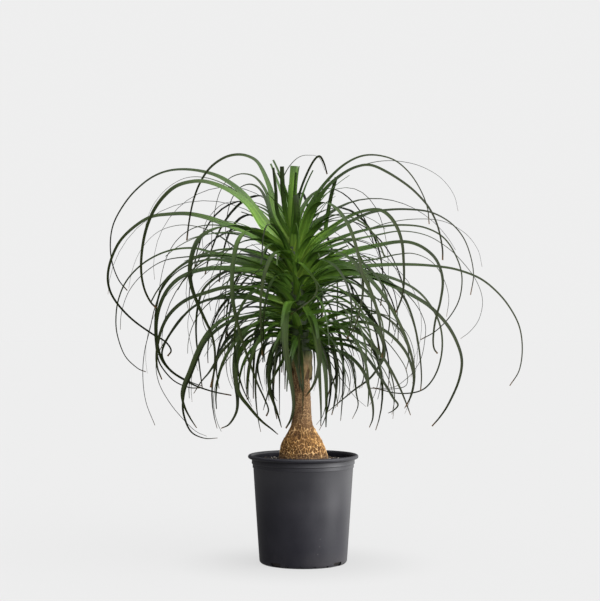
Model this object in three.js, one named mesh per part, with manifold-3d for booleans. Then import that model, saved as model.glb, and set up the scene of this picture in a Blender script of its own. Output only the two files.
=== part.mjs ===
// A potted ponytail palm: a black nursery pot filled with potting mix, and the palm that stands in it.
// The palm is a swollen, net-barked trunk with dried leaf bases at its top and a crown of long strap leaves.
// Millimetres, +Z up. The origin is the centre of the pot's underside, on the surface that the pot stands on.
// +X is to the right and -Y is towards someone who faces the front of the plant.
import * as THREE from "three";
import { mergeVertices } from "three/addons/utils/BufferGeometryUtils.js";
import Module from "manifold-3d";

// ---- Driving dimensions ----

const GAP = 0.3; // clearance between neighbouring pieces

// The pot: a 10 inch nursery pot. Heights are those of the top of each part of its outline.
const POT_HEIGHT = 248.5;
const POT_WALL = 1.8;
const POT_FLOOR = 2.4;
const POT_SIDES = 40;
const FOOT_RADIUS = 100.8;
const CORNER_RADIUS = 8;
const WALL_TOP = { radius: 114.8, height: 218.5 };
const LOWER_COLLAR = { radius: 116.4, height: 227 };
const UPPER_COLLAR = { radius: 118.5, height: 238 };
const LIP_RADIUS = 127;
const DRAIN_STEPS = 20; // places round the bottom corner, every fifth one a large slot
const DRAIN_PHASE = -39; // degrees from the front to the first large slot
const LARGE_SLOT = { width: 27, height: 10.5 };
const SMALL_NOTCH = { width: 6, height: 5 };

// The potting mix.
const SOIL_EDGE = 233;
const SOIL_MOUND = 3.5;
const SOIL_RIPPLE = 1.3;

// The trunk's outline as [radius, height], buried and exposed.
const TRUNK_FOOT = [
  [0, 168],
  [24, 170],
  [43, 182],
  [54, 203],
  [57, 222],
  [57, 240],
];
const TRUNK_OUTLINE = [
  [57, 240],
  [54.5, 247],
  [52, 256],
  [48.5, 270],
  [42, 284],
  [35.5, 296],
  [29, 308],
  [24.6, 320],
  [22.4, 338],
  [21.2, 360],
  [20.4, 385],
  [19.8, 415],
  [19.6, 442],
];
const TRUNK_SIDES = 48;
const BULB_TOP = 318;
const BULB_ROWS = 13; // rows of faces on the swollen base
const STEM_ROWS = 10;
const NET_CELLS = 7; // half the meshes of raised net round the trunk
const NET_PITCH = 34; // height of a mesh
const NET_RELIEF = 2.4;
const STEM_RELIEF = 0.9;

// The dried leaf bases at the top of the trunk.
const SHEATHS_BOTTOM = 442;
const SHEATHS_TOP = 486;
const SHEATHS = 13;

// The leafy stem, as [radius, height].
const STEM_SIDES = 14;
const STEM_OUTLINE = [
  [24, SHEATHS_TOP + GAP],
  [25, 560],
  [22, 650],
  [14, 720],
  [6, 768],
];

// The plant leans a little to the left as it climbs: [x of its axis, height].
const LEAN = [
  [2, 160],
  [2, 270],
  [-1, 340],
  [-5, 442],
  [-13, 560],
  [-19, 660],
  [-23, 780],
];

// A leaf blade.
const BLADE_TIP = 0.16; // share of its width that is left at the tip
const BLADE_KEEL = 1.5; // depth of the keel under the blade near the stem
const BLADE_EDGE = 0.85; // the same at the tip

// Leaves that follow a rule, from the foot of the crown to its top.
const RULED_LEAVES = 84;
const RULED_FOOT = 494;
const RULED_TOP = 738;
const GOLDEN_ANGLE = 137.508;
const LOWEST_TIP = 292;
const TRUNK_CLEARANCE = 42;
const RULED_SEGMENTS = 8;
const MEASURED_SEGMENTS = 9;

// Leaves measured one by one on the front of the plant. root is the height where a leaf leaves the stem,
// depth how far it leans back (or, if negative, forward), width its greatest width, roll how many degrees its
// blade turns to face the front, tip the share of its width at a cut end, and way the [x, height] points that
// it passes.
const MEASURED_LEAVES = [
  // The left side, from the top down.
  { root: 730, depth: -60, width: 14, roll: 40,
    way: [[-60, 785], [-80, 855], [-150, 936], [-205, 910], [-250, 825], [-270, 730]] },
  { root: 722, depth: 100, width: 11, roll: 35,
    way: [[-62, 785], [-90, 860], [-150, 900], [-195, 860], [-218, 790], [-220, 730]] },
  { root: 715, depth: 180, width: 11, roll: 20,
    way: [[-72, 785], [-110, 875], [-165, 860], [-190, 775], [-165, 715]] },
  { root: 708, depth: 60, width: 11, roll: 35,
    way: [[-72, 765], [-145, 855], [-275, 910], [-390, 865], [-452, 755], [-435, 670], [-375, 625]] },
  { root: 700, depth: -120, width: 17, roll: 50,
    way: [[-65, 740], [-115, 810], [-225, 870], [-320, 805], [-360, 670], [-315, 565], [-245, 550]] },
  { root: 688, depth: -40, width: 11, roll: 35,
    way: [[-85, 725], [-180, 770], [-280, 800], [-380, 770], [-446, 665], [-415, 590], [-315, 495]] },
  { root: 690, depth: -180, width: 17, roll: 25,
    way: [[-60, 725], [-110, 757], [-170, 765], [-230, 745], [-250, 680], [-230, 605], [-200, 515]] },
  { root: 665, depth: 80, width: 9, roll: 30,
    way: [[-85, 705], [-165, 755], [-250, 780], [-300, 735], [-325, 655]] },
  { root: 655, depth: -60, width: 11, roll: 40,
    way: [[-80, 690], [-170, 712], [-290, 725], [-400, 660], [-420, 540], [-375, 450], [-345, 435]] },
  { root: 640, depth: 80, width: 11, roll: 30,
    way: [[-90, 675], [-200, 707], [-340, 690], [-430, 590], [-410, 480], [-380, 455]] },
  { root: 625, depth: -100, width: 14, roll: 40,
    way: [[-90, 670], [-180, 703], [-255, 690], [-325, 625], [-345, 525], [-360, 440], [-330, 330]] },
  { root: 580, depth: -180, width: 17, roll: 30,
    way: [[-80, 620], [-150, 632], [-215, 600], [-238, 535], [-220, 430]] },
  { root: 565, depth: -100, width: 15, roll: 40,
    way: [[-85, 612], [-170, 632], [-260, 600], [-330, 500], [-315, 390], [-255, 310], [-190, 276]] },
  { root: 548, depth: 60, width: 12, roll: 35,
    way: [[-85, 600], [-170, 612], [-245, 590], [-330, 490], [-300, 430], [-165, 380]] },
  { root: 518, depth: 100, width: 10, roll: 30,
    way: [[-90, 550], [-160, 552], [-220, 515], [-280, 425], [-285, 350], [-255, 280], [-205, 275]] },
  { root: 508, depth: -150, width: 13, roll: 30,
    way: [[-75, 540], [-120, 535], [-155, 455], [-140, 380], [-100, 340], [-72, 305]] },
  // The right side, from the top down.
  { root: 712, depth: 60, width: 13, roll: 40,
    way: [[0, 770], [30, 845], [75, 905], [145, 943], [220, 925], [285, 845], [290, 755]] },
  { root: 704, depth: 140, width: 7, roll: 30,
    way: [[10, 780], [60, 875], [130, 922], [220, 938], [315, 910], [368, 840], [370, 805]] },
  { root: 696, depth: -60, width: 15, roll: 45,
    way: [[5, 755], [40, 840], [115, 900], [185, 900], [275, 825], [310, 750], [315, 670]] },
  { root: 692, depth: -260, width: 16, roll: 0,
    way: [[8, 765], [35, 812], [80, 790], [115, 730], [125, 650], [105, 530]] },
  { root: 684, depth: -160, width: 14, roll: 15,
    way: [[30, 745], [95, 785], [160, 800], [205, 750], [220, 675]] },
  { root: 680, depth: 80, width: 12, roll: 35,
    way: [[25, 735], [100, 788], [185, 812], [295, 808], [380, 755], [385, 695], [350, 655]] },
  { root: 672, depth: 160, width: 8, roll: 30,
    way: [[40, 725], [150, 762], [250, 785], [355, 780], [425, 720], [440, 685]] },
  { root: 660, depth: -60, width: 13, roll: 40,
    way: [[40, 700], [130, 738], [230, 755], [305, 735], [365, 630], [340, 550], [275, 515]] },
  { root: 645, depth: -200, width: 17, roll: 20,
    way: [[55, 692], [155, 718], [240, 722], [285, 685], [300, 610], [280, 505], [290, 470]] },
  { root: 640, depth: 40, width: 9, roll: 30,
    way: [[60, 685], [150, 710], [240, 718], [335, 710], [415, 620], [400, 550], [370, 515]] },
  { root: 622, depth: -30, width: 14, roll: 40,
    way: [[70, 662], [170, 685], [310, 680], [400, 655], [470, 595], [509, 490], [470, 405]] },
  { root: 610, depth: -280, width: 18, roll: 0,
    way: [[15, 680], [55, 702], [100, 690], [140, 640], [160, 565], [170, 495]] },
  { root: 592, depth: 100, width: 11, roll: 30,
    way: [[75, 640], [185, 652], [270, 605], [325, 505], [315, 415], [270, 385], [165, 393]] },
  { root: 585, depth: -90, width: 14, roll: 35,
    way: [[65, 630], [160, 642], [250, 620], [340, 525], [355, 455], [330, 370], [290, 320]] },
  { root: 530, depth: 120, width: 10, roll: 20,
    way: [[70, 575], [150, 580], [200, 520], [180, 445], [120, 395], [75, 345]] },
  { root: 512, depth: -150, width: 13, roll: 25,
    way: [[60, 545], [125, 557], [185, 535], [230, 475], [240, 415], [225, 365]] },
  { root: 500, depth: -200, width: 12, roll: 15,
    way: [[40, 520], [85, 518], [145, 485], [180, 420], [205, 375]] },
  { root: 496, depth: -180, width: 12, roll: 15,
    way: [[35, 510], [70, 503], [115, 465], [148, 400], [145, 320]] },
  // The front of the crown.
  { root: 672, depth: -270, width: 14, roll: 0,
    way: [[-28, 710], [-60, 703], [-82, 650], [-90, 590], [-90, 525]] },
  { root: 664, depth: -240, width: 13, roll: 0,
    way: [[-75, 722], [-120, 748], [-150, 690], [-155, 640], [-135, 550]] },
  { root: 632, depth: -200, width: 17, roll: 0,
    way: [[-24, 655], [-33, 600], [-36, 500], [-22, 400], [-27, 325]] },
  { root: 618, depth: -220, width: 12, roll: 0,
    way: [[5, 638], [25, 575], [33, 500], [20, 440], [5, 390]] },
  { root: 520, depth: -160, width: 12, roll: 0,
    way: [[15, 520], [30, 460], [38, 400], [35, 325]] },
  { root: 504, depth: -150, width: 10, roll: 0,
    way: [[-22, 500], [-8, 440], [2, 385], [6, 355]] },
  // The top of the crown, where some leaves have been cut short.
  { root: 745, depth: -30, width: 9, roll: 30,
    way: [[-18, 800], [-5, 865], [20, 922], [42, 932], [56, 893]] },
  { root: 742, depth: 20, width: 7, roll: 60, tip: 0.6,
    way: [[-40, 800], [-57, 855], [-70, 910]] },
  { root: 750, depth: -20, width: 8, roll: 60, tip: 0.6,
    way: [[-34, 815], [-47, 860], [-50, 912]] },
  { root: 748, depth: -40, width: 16, roll: 60, tip: 0.9,
    way: [[-23, 815], [-22, 860], [-20, 913]] },
  { root: 736, depth: -10, width: 12, roll: 50, tip: 0.8,
    way: [[-8, 770], [12, 810], [35, 852]] },
  { root: 726, depth: 30, width: 11, roll: 45, tip: 0.6,
    way: [[5, 755], [45, 820], [75, 887]] },
];

// ---- Small helpers ----

const wasm = await Module();
wasm.setup();

const radians = THREE.MathUtils.degToRad;
const { lerp, clamp, smoothstep } = THREE.MathUtils;

// A repeatable number from 0 to 1 for one trait of one leaf.
function scatter(index, trait) {
  const wave = Math.sin(index * 12.9898 + trait * 78.233) * 43758.5453;
  return wave - Math.floor(wave);
}

// Reads the first number of a [number, height] list at any height.
function readAt(list, height) {
  const next = list.findIndex((entry) => entry[1] > height);
  if (next === 0) return list[0][0];
  if (next < 0) return list.at(-1)[0];
  const [from, start] = list[next - 1];
  const [to, end] = list[next];
  return lerp(from, to, (height - start) / (end - start));
}

// Moves every vertex of a geometry by a function that changes it in place.
function reshape(geometry, change) {
  const position = geometry.attributes.position;
  const vertex = new THREE.Vector3();
  for (let i = 0; i < position.count; i += 1) {
    change(vertex.fromBufferAttribute(position, i));
    position.setXYZ(i, vertex.x, vertex.y, vertex.z);
  }
  return geometry;
}

const leaning = (geometry) =>
  reshape(geometry, (vertex) => {
    vertex.x += readAt(LEAN, vertex.z);
  });

// Turns a [radius, height] outline, listed from its foot out and up to the axis, round the Z axis.
function turned(outline, sides) {
  const points = outline.map(([radius, height]) => new THREE.Vector2(radius, height));
  return new THREE.LatheGeometry(points, sides).rotateX(Math.PI / 2);
}

function solidOf(geometry) {
  geometry.deleteAttribute("normal");
  geometry.deleteAttribute("uv");
  const closed = mergeVertices(geometry, 1e-4);
  const vertProperties = new Float32Array(closed.attributes.position.array);
  const triVerts = new Uint32Array(closed.index.array);
  return new wasm.Manifold(new wasm.Mesh({ numProp: 3, vertProperties, triVerts }));
}

// Joins solids into one body. Loose scraps and sealed hollows are dropped.
function fused(solids) {
  const joined = solids.reduce((whole, solid) => whole.add(solid));
  return joined.decompose().sort((a, b) => b.volume() - a.volume())[0];
}

function meshOf(name, solid, color, roughness) {
  const { vertProperties, triVerts } = solid.getMesh();
  const geometry = new THREE.BufferGeometry();
  geometry.setAttribute("position", new THREE.BufferAttribute(vertProperties, 3));
  geometry.setIndex(new THREE.BufferAttribute(triVerts, 1));
  geometry.computeVertexNormals();
  const mesh = new THREE.Mesh(geometry, new THREE.MeshStandardMaterial({ color, roughness, metalness: 0 }));
  mesh.name = name;
  return mesh;
}

// ---- Pot ----

// The pot's inner face from the centre of its floor up to the lip, moved inwards by a clearance.
function potInside(clearance) {
  return [
    [0, POT_FLOOR + clearance],
    [FOOT_RADIUS - CORNER_RADIUS - clearance, POT_FLOOR + clearance],
    [FOOT_RADIUS - POT_WALL - clearance, CORNER_RADIUS + 1 + clearance],
    [WALL_TOP.radius - POT_WALL - clearance, WALL_TOP.height],
    [LOWER_COLLAR.radius - POT_WALL - clearance, LOWER_COLLAR.height],
    [UPPER_COLLAR.radius - POT_WALL - clearance, LOWER_COLLAR.height + 3],
  ];
}

function potOutline() {
  const corner = [0, 30, 60, 90].map((angle) => [
    FOOT_RADIUS - CORNER_RADIUS * (1 - Math.sin(radians(angle))),
    CORNER_RADIUS * (1 - Math.cos(radians(angle))),
  ]);
  const collars = [
    [WALL_TOP.radius, WALL_TOP.height],
    [LOWER_COLLAR.radius, WALL_TOP.height + 1.5],
    [LOWER_COLLAR.radius - 0.4, LOWER_COLLAR.height],
    [UPPER_COLLAR.radius, LOWER_COLLAR.height + 1.5],
    [UPPER_COLLAR.radius - 0.6, UPPER_COLLAR.height - 1],
  ];
  const lip = [
    [LIP_RADIUS - 3.5, UPPER_COLLAR.height + 1],
    [LIP_RADIUS - 0.8, UPPER_COLLAR.height + 3.5],
    [LIP_RADIUS, POT_HEIGHT - 3.5],
    [LIP_RADIUS - 1.2, POT_HEIGHT - 1],
    [LIP_RADIUS - 4, POT_HEIGHT],
    [LIP_RADIUS - 6.5, POT_HEIGHT - 1.2],
    [UPPER_COLLAR.radius - POT_WALL + 0.5, UPPER_COLLAR.height + 2],
  ];
  return [[0, 0], ...corner, ...collars, ...lip, ...potInside(0).reverse()];
}

function makePot() {
  const cutters = Array.from({ length: DRAIN_STEPS }, (_, step) => {
    const { width, height } = step % 5 === 0 ? LARGE_SLOT : SMALL_NOTCH;
    const cutter = new THREE.BoxGeometry(width, 2 * CORNER_RADIUS, 2 * height);
    cutter.translate(0, -FOOT_RADIUS, 0);
    return solidOf(cutter.rotateZ(radians(DRAIN_PHASE + (step * 360) / DRAIN_STEPS)));
  });
  const whole = solidOf(turned(potOutline(), POT_SIDES));
  const pot = cutters.reduce((rest, cutter) => rest.subtract(cutter), whole);
  return meshOf("pot", pot, 0x2a2b2e, 0.45);
}

// ---- Potting mix ----

function makeSoil() {
  const surface = [
    [UPPER_COLLAR.radius - POT_WALL - GAP, SOIL_EDGE],
    [106, SOIL_EDGE + 0.1 * SOIL_MOUND],
    [94, SOIL_EDGE + 0.4 * SOIL_MOUND],
    [82, SOIL_EDGE + 0.7 * SOIL_MOUND],
    [70, SOIL_EDGE + SOIL_MOUND],
    [0, SOIL_EDGE + SOIL_MOUND],
  ];
  const filling = reshape(turned([...potInside(GAP), ...surface], POT_SIDES), (vertex) => {
    const radius = Math.hypot(vertex.x, vertex.y);
    const angle = Math.atan2(vertex.y, vertex.x);
    const isOpen = vertex.z > SOIL_EDGE && radius > 60 && radius < 110;
    const ripple = Math.sin(7 * angle + radius / 9) + Math.sin(12 * angle - radius / 5);
    vertex.z += isOpen ? SOIL_RIPPLE * ripple : 0;
  });
  const hole = TRUNK_FOOT.map(([radius, height]) => [radius > 0 ? radius + GAP : 0, height - GAP]);
  const mouth = [TRUNK_FOOT.at(-1)[0] + GAP, POT_HEIGHT];
  const plug = leaning(turned([...hole, mouth, [0, POT_HEIGHT]], TRUNK_SIDES));
  return meshOf("potting_soil", solidOf(filling).subtract(solidOf(plug)), 0x2b211a, 0.95);
}

// ---- Trunk ----

// How far the bark stands out: a net of raised ridges on the swollen base, and fine rings on the stem.
function barkRelief(angle, height) {
  const drift = 0.5 * Math.sin(3 * angle + height / 21) + 0.3 * Math.sin(5 * angle - height / 13);
  const rising = Math.abs(Math.sin(NET_CELLS * angle + (Math.PI * height) / NET_PITCH + drift));
  const falling = Math.abs(Math.sin(NET_CELLS * angle - (Math.PI * height) / NET_PITCH + drift));
  const net = 1 - Math.min(rising, falling);
  const rings = 0.5 + 0.5 * Math.sin(height / 3.7 + 2 * Math.sin(2 * angle));
  const onBulb = 1 - smoothstep(height, BULB_TOP - 25, BULB_TOP + 25);
  const fadeIn = smoothstep(height, TRUNK_FOOT.at(-1)[1], TRUNK_FOOT.at(-1)[1] + 14);
  const fadeOut = 1 - smoothstep(height, SHEATHS_BOTTOM - 20, SHEATHS_BOTTOM);
  return fadeIn * fadeOut * lerp(STEM_RELIEF * rings, NET_RELIEF * net - 0.8, onBulb);
}

// Steps from a start (left out) to an end.
const evenly = (start, end, steps) =>
  Array.from({ length: steps }, (_, i) => lerp(start, end, (i + 1) / steps));

function makeTrunk() {
  const bulb = evenly(TRUNK_FOOT.at(-1)[1], BULB_TOP, BULB_ROWS);
  const stem = evenly(BULB_TOP, SHEATHS_BOTTOM, STEM_ROWS);
  const rows = [...bulb, ...stem].map((height) => [readAt(TRUNK_OUTLINE, height), height]);
  const trunk = reshape(turned([...TRUNK_FOOT, ...rows, [0, SHEATHS_BOTTOM]], TRUNK_SIDES), (vertex) => {
    const radius = Math.hypot(vertex.x, vertex.y);
    if (radius < 1) return;
    const swell = 1 + barkRelief(Math.atan2(vertex.y, vertex.x), vertex.z) / radius;
    vertex.x *= swell;
    vertex.y *= swell;
  });
  return meshOf("trunk", solidOf(leaning(trunk)), 0x8a5a2e, 0.85);
}

// ---- Leaves ----

// Where a leaf placed by the rule goes: it leaves the stem at its rise, bends down evenly, and curls in.
function ruledLeaf(index) {
  const climb = (index + 0.5) / RULED_LEAVES;
  const heading = radians(index * GOLDEN_ANGLE + 24 * (scatter(index, 1) - 0.5));
  const root = lerp(RULED_FOOT, RULED_TOP, climb);
  const rise = radians(lerp(16, 66, climb ** 1.2) + 20 * (scatter(index, 2) - 0.5));
  const droop = radians(lerp(88, 172, climb ** 0.7) + 30 * (scatter(index, 3) - 0.5));
  const swerve = radians(46 * (scatter(index, 4) - 0.5));
  const full = lerp(330, 660, Math.sin(Math.PI * (0.12 + 0.6 * climb))) * lerp(0.76, 1, scatter(index, 5));
  const shares = [1, 0.92, 0.84, 0.76, 0.68, 0.6, 0.52, 0.44, 0.36, 0.28];
  const points = shares.map((share) => ruledPoints(share * full)).find(isClear);
  const width = lerp(9, 16, scatter(index, 6));
  return { points, width, roll: radians(60 * (scatter(index, 7) - 0.5)), tip: BLADE_TIP };

  function ruledPoints(length) {
    const step = length / RULED_SEGMENTS;
    const point = new THREE.Vector3(readAt(LEAN, root), 0, root);
    const line = [point.clone()];
    for (let i = 0; i < RULED_SEGMENTS; i += 1) {
      const along = (i + 0.5) / RULED_SEGMENTS;
      const pitch = rise - droop * along;
      const bearing = heading + swerve * along;
      point.x += step * Math.cos(pitch) * Math.cos(bearing);
      point.y += step * Math.cos(pitch) * Math.sin(bearing);
      point.z += step * Math.sin(pitch);
      line.push(point.clone());
    }
    return line;
  }
}

// A leaf by the rule stays above the pot and away from the bare trunk.
function isClear(points) {
  return points.every(({ x, y, z }) => {
    const isBeside = z < RULED_FOOT - 14 && Math.hypot(x - readAt(LEAN, z), y) < TRUNK_CLEARANCE;
    return z > LOWEST_TIP && !isBeside;
  });
}

function measuredLeaf({ root, depth, width, roll, tip = BLADE_TIP, way }) {
  const start = new THREE.Vector3(readAt(LEAN, root), 0, root);
  const passed = way.map(([x, z]) => new THREE.Vector3(x, 0, z));
  const curve = new THREE.CatmullRomCurve3([start, ...passed], false, "catmullrom", 0.5);
  const points = curve.getPoints(MEASURED_SEGMENTS);
  points.forEach((point, i) => {
    point.y = depth * Math.sin((1.75 * i) / MEASURED_SEGMENTS);
  });
  const side = Math.sign(passed.at(-1).x - start.x);
  return { points, width, roll: side * radians(roll), tip };
}

// A closed three-sided blade along a line of points: flat above, keeled below, and narrower towards its tip.
function blade({ points, width, roll, tip }) {
  const last = points.length - 1;
  const reach = points[Math.ceil(last * 0.7)].clone().sub(points[0]).setZ(0).normalize();
  const across = new THREE.Vector3(reach.y, -reach.x, 0);
  const corners = points.flatMap((point, i) => {
    const along = i / last;
    const heading = points[Math.min(i + 1, last)].clone().sub(points[Math.max(i - 1, 0)]).normalize();
    const level = across.clone().addScaledVector(heading, -across.dot(heading)).normalize();
    const side = level.applyAxisAngle(heading, roll * Math.sqrt(along));
    const under = heading.clone().cross(side);
    const half = (width / 2) * lerp(0.6, 1, Math.min(1, along * 6)) * lerp(1, tip, along ** 1.6);
    const left = point.clone().addScaledVector(side, -half);
    const right = point.clone().addScaledVector(side, half);
    const keel = point.clone().addScaledVector(under, lerp(BLADE_KEEL, BLADE_EDGE, along));
    return [left, right, keel];
  });
  const faces = [[0, 2, 1], [3 * last, 3 * last + 1, 3 * last + 2]];
  for (let i = 0; i < last; i += 1) {
    for (const [from, to] of [[0, 1], [1, 2], [2, 0]]) {
      const [a, b, c, d] = [3 * i + from, 3 * i + to, 3 * i + 3 + from, 3 * i + 3 + to];
      faces.push([a, b, d], [a, d, c]);
    }
  }
  const geometry = new THREE.BufferGeometry().setFromPoints(corners);
  return geometry.setIndex(faces.flat());
}

function makeLeafCrown() {
  const [bottom, top] = [STEM_OUTLINE[0][1], STEM_OUTLINE.at(-1)[1]];
  const stem = leaning(turned([[0, bottom], ...STEM_OUTLINE, [0, top + 4]], STEM_SIDES));
  const ruled = Array.from({ length: RULED_LEAVES }, (_, index) => ruledLeaf(index));
  const leaves = [...MEASURED_LEAVES.map(measuredLeaf), ...ruled];
  const crown = fused([solidOf(stem), ...leaves.map((leaf) => solidOf(blade(leaf)))]);
  return meshOf("leaf_crown", crown, 0x3f6b25, 0.5);
}

// ---- Dried leaf bases ----

// A short ring of stem with tan, pointed leaf bases that stand off it and hang over the top of the trunk.
function makeSheaths() {
  const bottom = SHEATHS_BOTTOM + GAP;
  const ring = leaning(turned([[0, bottom], [20, bottom], [24, SHEATHS_TOP], [0, SHEATHS_TOP]], STEM_SIDES));
  const bases = Array.from({ length: SHEATHS }, (_, index) => {
    const heading = radians((index * 360) / SHEATHS + 14 * (scatter(index, 11) - 0.5));
    const hang = lerp(30, 62, scatter(index, 12));
    const out = [[14, 470], [24.5, 474], [29.5, 462], [27.5, 446], [26.5, 470 - hang]];
    const points = out.map(([radius, height]) => new THREE.Vector3(
      readAt(LEAN, height) + radius * Math.cos(heading),
      radius * Math.sin(heading),
      height,
    ));
    return solidOf(blade({ points, width: 11, roll: 0, tip: BLADE_TIP }));
  });
  return meshOf("dry_leaf_bases", fused([solidOf(ring), ...bases]), 0xa88a4a, 0.8);
}

const palm = new THREE.Group();
palm.add(makePot(), makeSoil(), makeTrunk(), makeSheaths(), makeLeafCrown());
export default palm;
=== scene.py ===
# A potted ponytail palm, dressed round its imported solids: a charcoal nursery pot filled with potting mix, and
# the palm that stands in it, with a net-barked trunk, tan dried leaf bases and a fountain of strap leaves.
# Metres, +Z up, in the frame of the solids. The front of the plant faces -Y.
import math

import bpy
import numpy as np
from mathutils import Matrix, Vector


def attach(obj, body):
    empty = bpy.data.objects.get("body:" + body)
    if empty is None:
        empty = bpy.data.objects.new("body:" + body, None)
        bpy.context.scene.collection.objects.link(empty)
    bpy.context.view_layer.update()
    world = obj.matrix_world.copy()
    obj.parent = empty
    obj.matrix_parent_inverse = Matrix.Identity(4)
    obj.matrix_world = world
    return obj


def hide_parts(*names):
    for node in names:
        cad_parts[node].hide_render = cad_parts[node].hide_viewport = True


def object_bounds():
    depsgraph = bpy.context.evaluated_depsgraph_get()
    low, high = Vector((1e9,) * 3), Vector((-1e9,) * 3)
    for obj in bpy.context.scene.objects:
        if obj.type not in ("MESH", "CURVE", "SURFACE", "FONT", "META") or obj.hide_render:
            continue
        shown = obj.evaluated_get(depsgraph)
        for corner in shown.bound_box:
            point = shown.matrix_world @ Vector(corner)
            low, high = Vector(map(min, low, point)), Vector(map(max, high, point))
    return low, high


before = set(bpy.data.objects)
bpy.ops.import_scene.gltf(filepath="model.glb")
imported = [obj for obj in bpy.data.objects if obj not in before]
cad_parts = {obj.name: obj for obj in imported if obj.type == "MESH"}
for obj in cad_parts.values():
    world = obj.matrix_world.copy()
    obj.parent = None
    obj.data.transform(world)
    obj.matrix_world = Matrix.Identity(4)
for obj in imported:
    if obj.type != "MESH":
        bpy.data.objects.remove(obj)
cad_low, cad_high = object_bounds()


# ---- Camera, floor and studio light ----
# The plant stands on a pale studio floor that runs out evenly to a backdrop of the same tone. Soft panels at
# the right, in front and overhead light it, a broad sun fills in, and the left side of the studio is dark.
camera_data = bpy.data.cameras.new("camera")
camera_data.sensor_width = 36
camera_data.lens = 92.85
camera = bpy.data.objects.new("camera", camera_data)
camera.location = (-0.0074, -3.567, 0.571)
camera.rotation_euler = (math.radians(90.5), 0, 0)
bpy.context.scene.collection.objects.link(camera)
bpy.context.scene.camera = camera
bpy.context.scene.view_settings.view_transform = "Standard"

# The floor glows evenly but for a painted contact shadow near the pot's foot, by the distance from the pot's
# axis.
painted_shadow_within, lit_beyond = 0.06, 0.34
painted_shadow_glow, even_glow = 0.655, 0.746
bpy.ops.object.select_all(action="DESELECT")
bpy.ops.mesh.primitive_plane_add(size=60)
floor = bpy.context.object
floor.name = "floor"
floor_paint = bpy.data.materials.new("pale floor")
floor_paint.use_nodes = True
floor_nodes = floor_paint.node_tree.nodes
floor_links = floor_paint.node_tree.links
floor_shader = floor_nodes["Principled BSDF"]
floor_shader.inputs["Base Color"].default_value = (0.05, 0.05, 0.05, 1)
floor_shader.inputs["Emission Color"].default_value = (1, 1, 1, 1)
floor_shader.inputs["Roughness"].default_value = 0.9
floor_shader.inputs["Specular IOR Level"].default_value = 0
from_the_pot = floor_nodes.new("ShaderNodeVectorMath")
from_the_pot.operation = "LENGTH"
floor_links.new(floor_nodes.new("ShaderNodeTexCoord").outputs["Object"], from_the_pot.inputs[0])
glow_with_painted_shadow = floor_nodes.new("ShaderNodeMapRange")
glow_with_painted_shadow.interpolation_type = "SMOOTHSTEP"
glow_with_painted_shadow.inputs["From Min"].default_value = painted_shadow_within
glow_with_painted_shadow.inputs["From Max"].default_value = lit_beyond
glow_with_painted_shadow.inputs["To Min"].default_value = painted_shadow_glow
glow_with_painted_shadow.inputs["To Max"].default_value = even_glow
floor_links.new(from_the_pot.outputs["Value"], glow_with_painted_shadow.inputs["Value"])
floor_links.new(glow_with_painted_shadow.outputs["Result"], floor_shader.inputs["Emission Strength"])
floor.data.materials.append(floor_paint)
floor.visible_glossy = False
floor.visible_diffuse = False

backdrop_tone = 0.859
dark_walls = 0.16
soft_panels = [
    # direction, the cosines of the angles from it at which the glow starts and is full, strength
    ((0.92, -0.30, 0.45), 0.72, 0.93, 2.0),
    ((0.95, -0.28, 0.02), 0.91, 1.00, 2.2),
    ((1.00, 0.10, 0.04), 0.00, 1.00, 1.3),
    ((0.30, -0.80, 0.50), 0.72, 0.97, 1.9),
    ((0.05, -0.25, 0.97), 0.30, 0.98, 1.7),
    ((0.00, -0.10, -1.00), 0.20, 0.95, 0.25),
]
studio = bpy.data.worlds.new("studio")
studio.use_nodes = True
bpy.context.scene.world = studio
studio_nodes = studio.node_tree.nodes
studio_links = studio.node_tree.links
studio_coordinates = studio_nodes.new("ShaderNodeTexCoord")


def glow_towards(direction, start, full, strength):
    """A soft panel in the studio's walls: how bright the walls are round one direction."""
    where = studio_nodes.new("ShaderNodeVectorMath")
    where.operation = "DOT_PRODUCT"
    where.inputs[1].default_value = Vector(direction).normalized()
    studio_links.new(studio_coordinates.outputs["Generated"], where.inputs[0])
    edge = studio_nodes.new("ShaderNodeMapRange")
    edge.interpolation_type = "SMOOTHSTEP"
    edge.inputs["From Min"].default_value = start
    edge.inputs["From Max"].default_value = full
    edge.inputs["To Max"].default_value = strength
    studio_links.new(where.outputs["Value"], edge.inputs["Value"])
    return edge.outputs["Result"]


unlit_walls = studio_nodes.new("ShaderNodeValue")
unlit_walls.outputs["Value"].default_value = dark_walls
light_so_far = unlit_walls.outputs["Value"]
for direction, start, full, strength in soft_panels:
    summed = studio_nodes.new("ShaderNodeMath")
    summed.operation = "ADD"
    studio_links.new(glow_towards(direction, start, full, strength), summed.inputs[0])
    studio_links.new(light_so_far, summed.inputs[1])
    light_so_far = summed.outputs["Value"]
seen_directly = studio_nodes.new("ShaderNodeLightPath")
backdrop_or_light = studio_nodes.new("ShaderNodeMix")
backdrop_or_light.inputs["B"].default_value = backdrop_tone
studio_links.new(seen_directly.outputs["Is Camera Ray"], backdrop_or_light.inputs["Factor"])
studio_links.new(light_so_far, backdrop_or_light.inputs["A"])
studio_links.new(backdrop_or_light.outputs["Result"], studio_nodes["Background"].inputs["Strength"])
studio_nodes["Background"].inputs["Color"].default_value = (1, 1, 1, 1)

sun_data = bpy.data.lights.new("sun", "SUN")
sun_data.energy = 1.0
sun_data.angle = math.radians(55)
sun = bpy.data.objects.new("sun", sun_data)
sun.rotation_euler = Vector((0.62, -0.55, 0.95)).to_track_quat("Z", "Y").to_euler()
bpy.context.scene.collection.objects.link(sun)


# ---- The pot ----
# A nursery pot, injection-moulded in one shot from charcoal plastic: a rolled lip over two stepped collars,
# a thin tapered wall and a flat floor. Drain slots, four large and sixteen small, cut its bottom corner.
pot_sides = 144
pot_smooth_angle = 30
foot_radius = 0.1008
corner_radius = 0.008
lip_centre = (0.1225, 0.2440)
lip_bead = 0.0045
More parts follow.
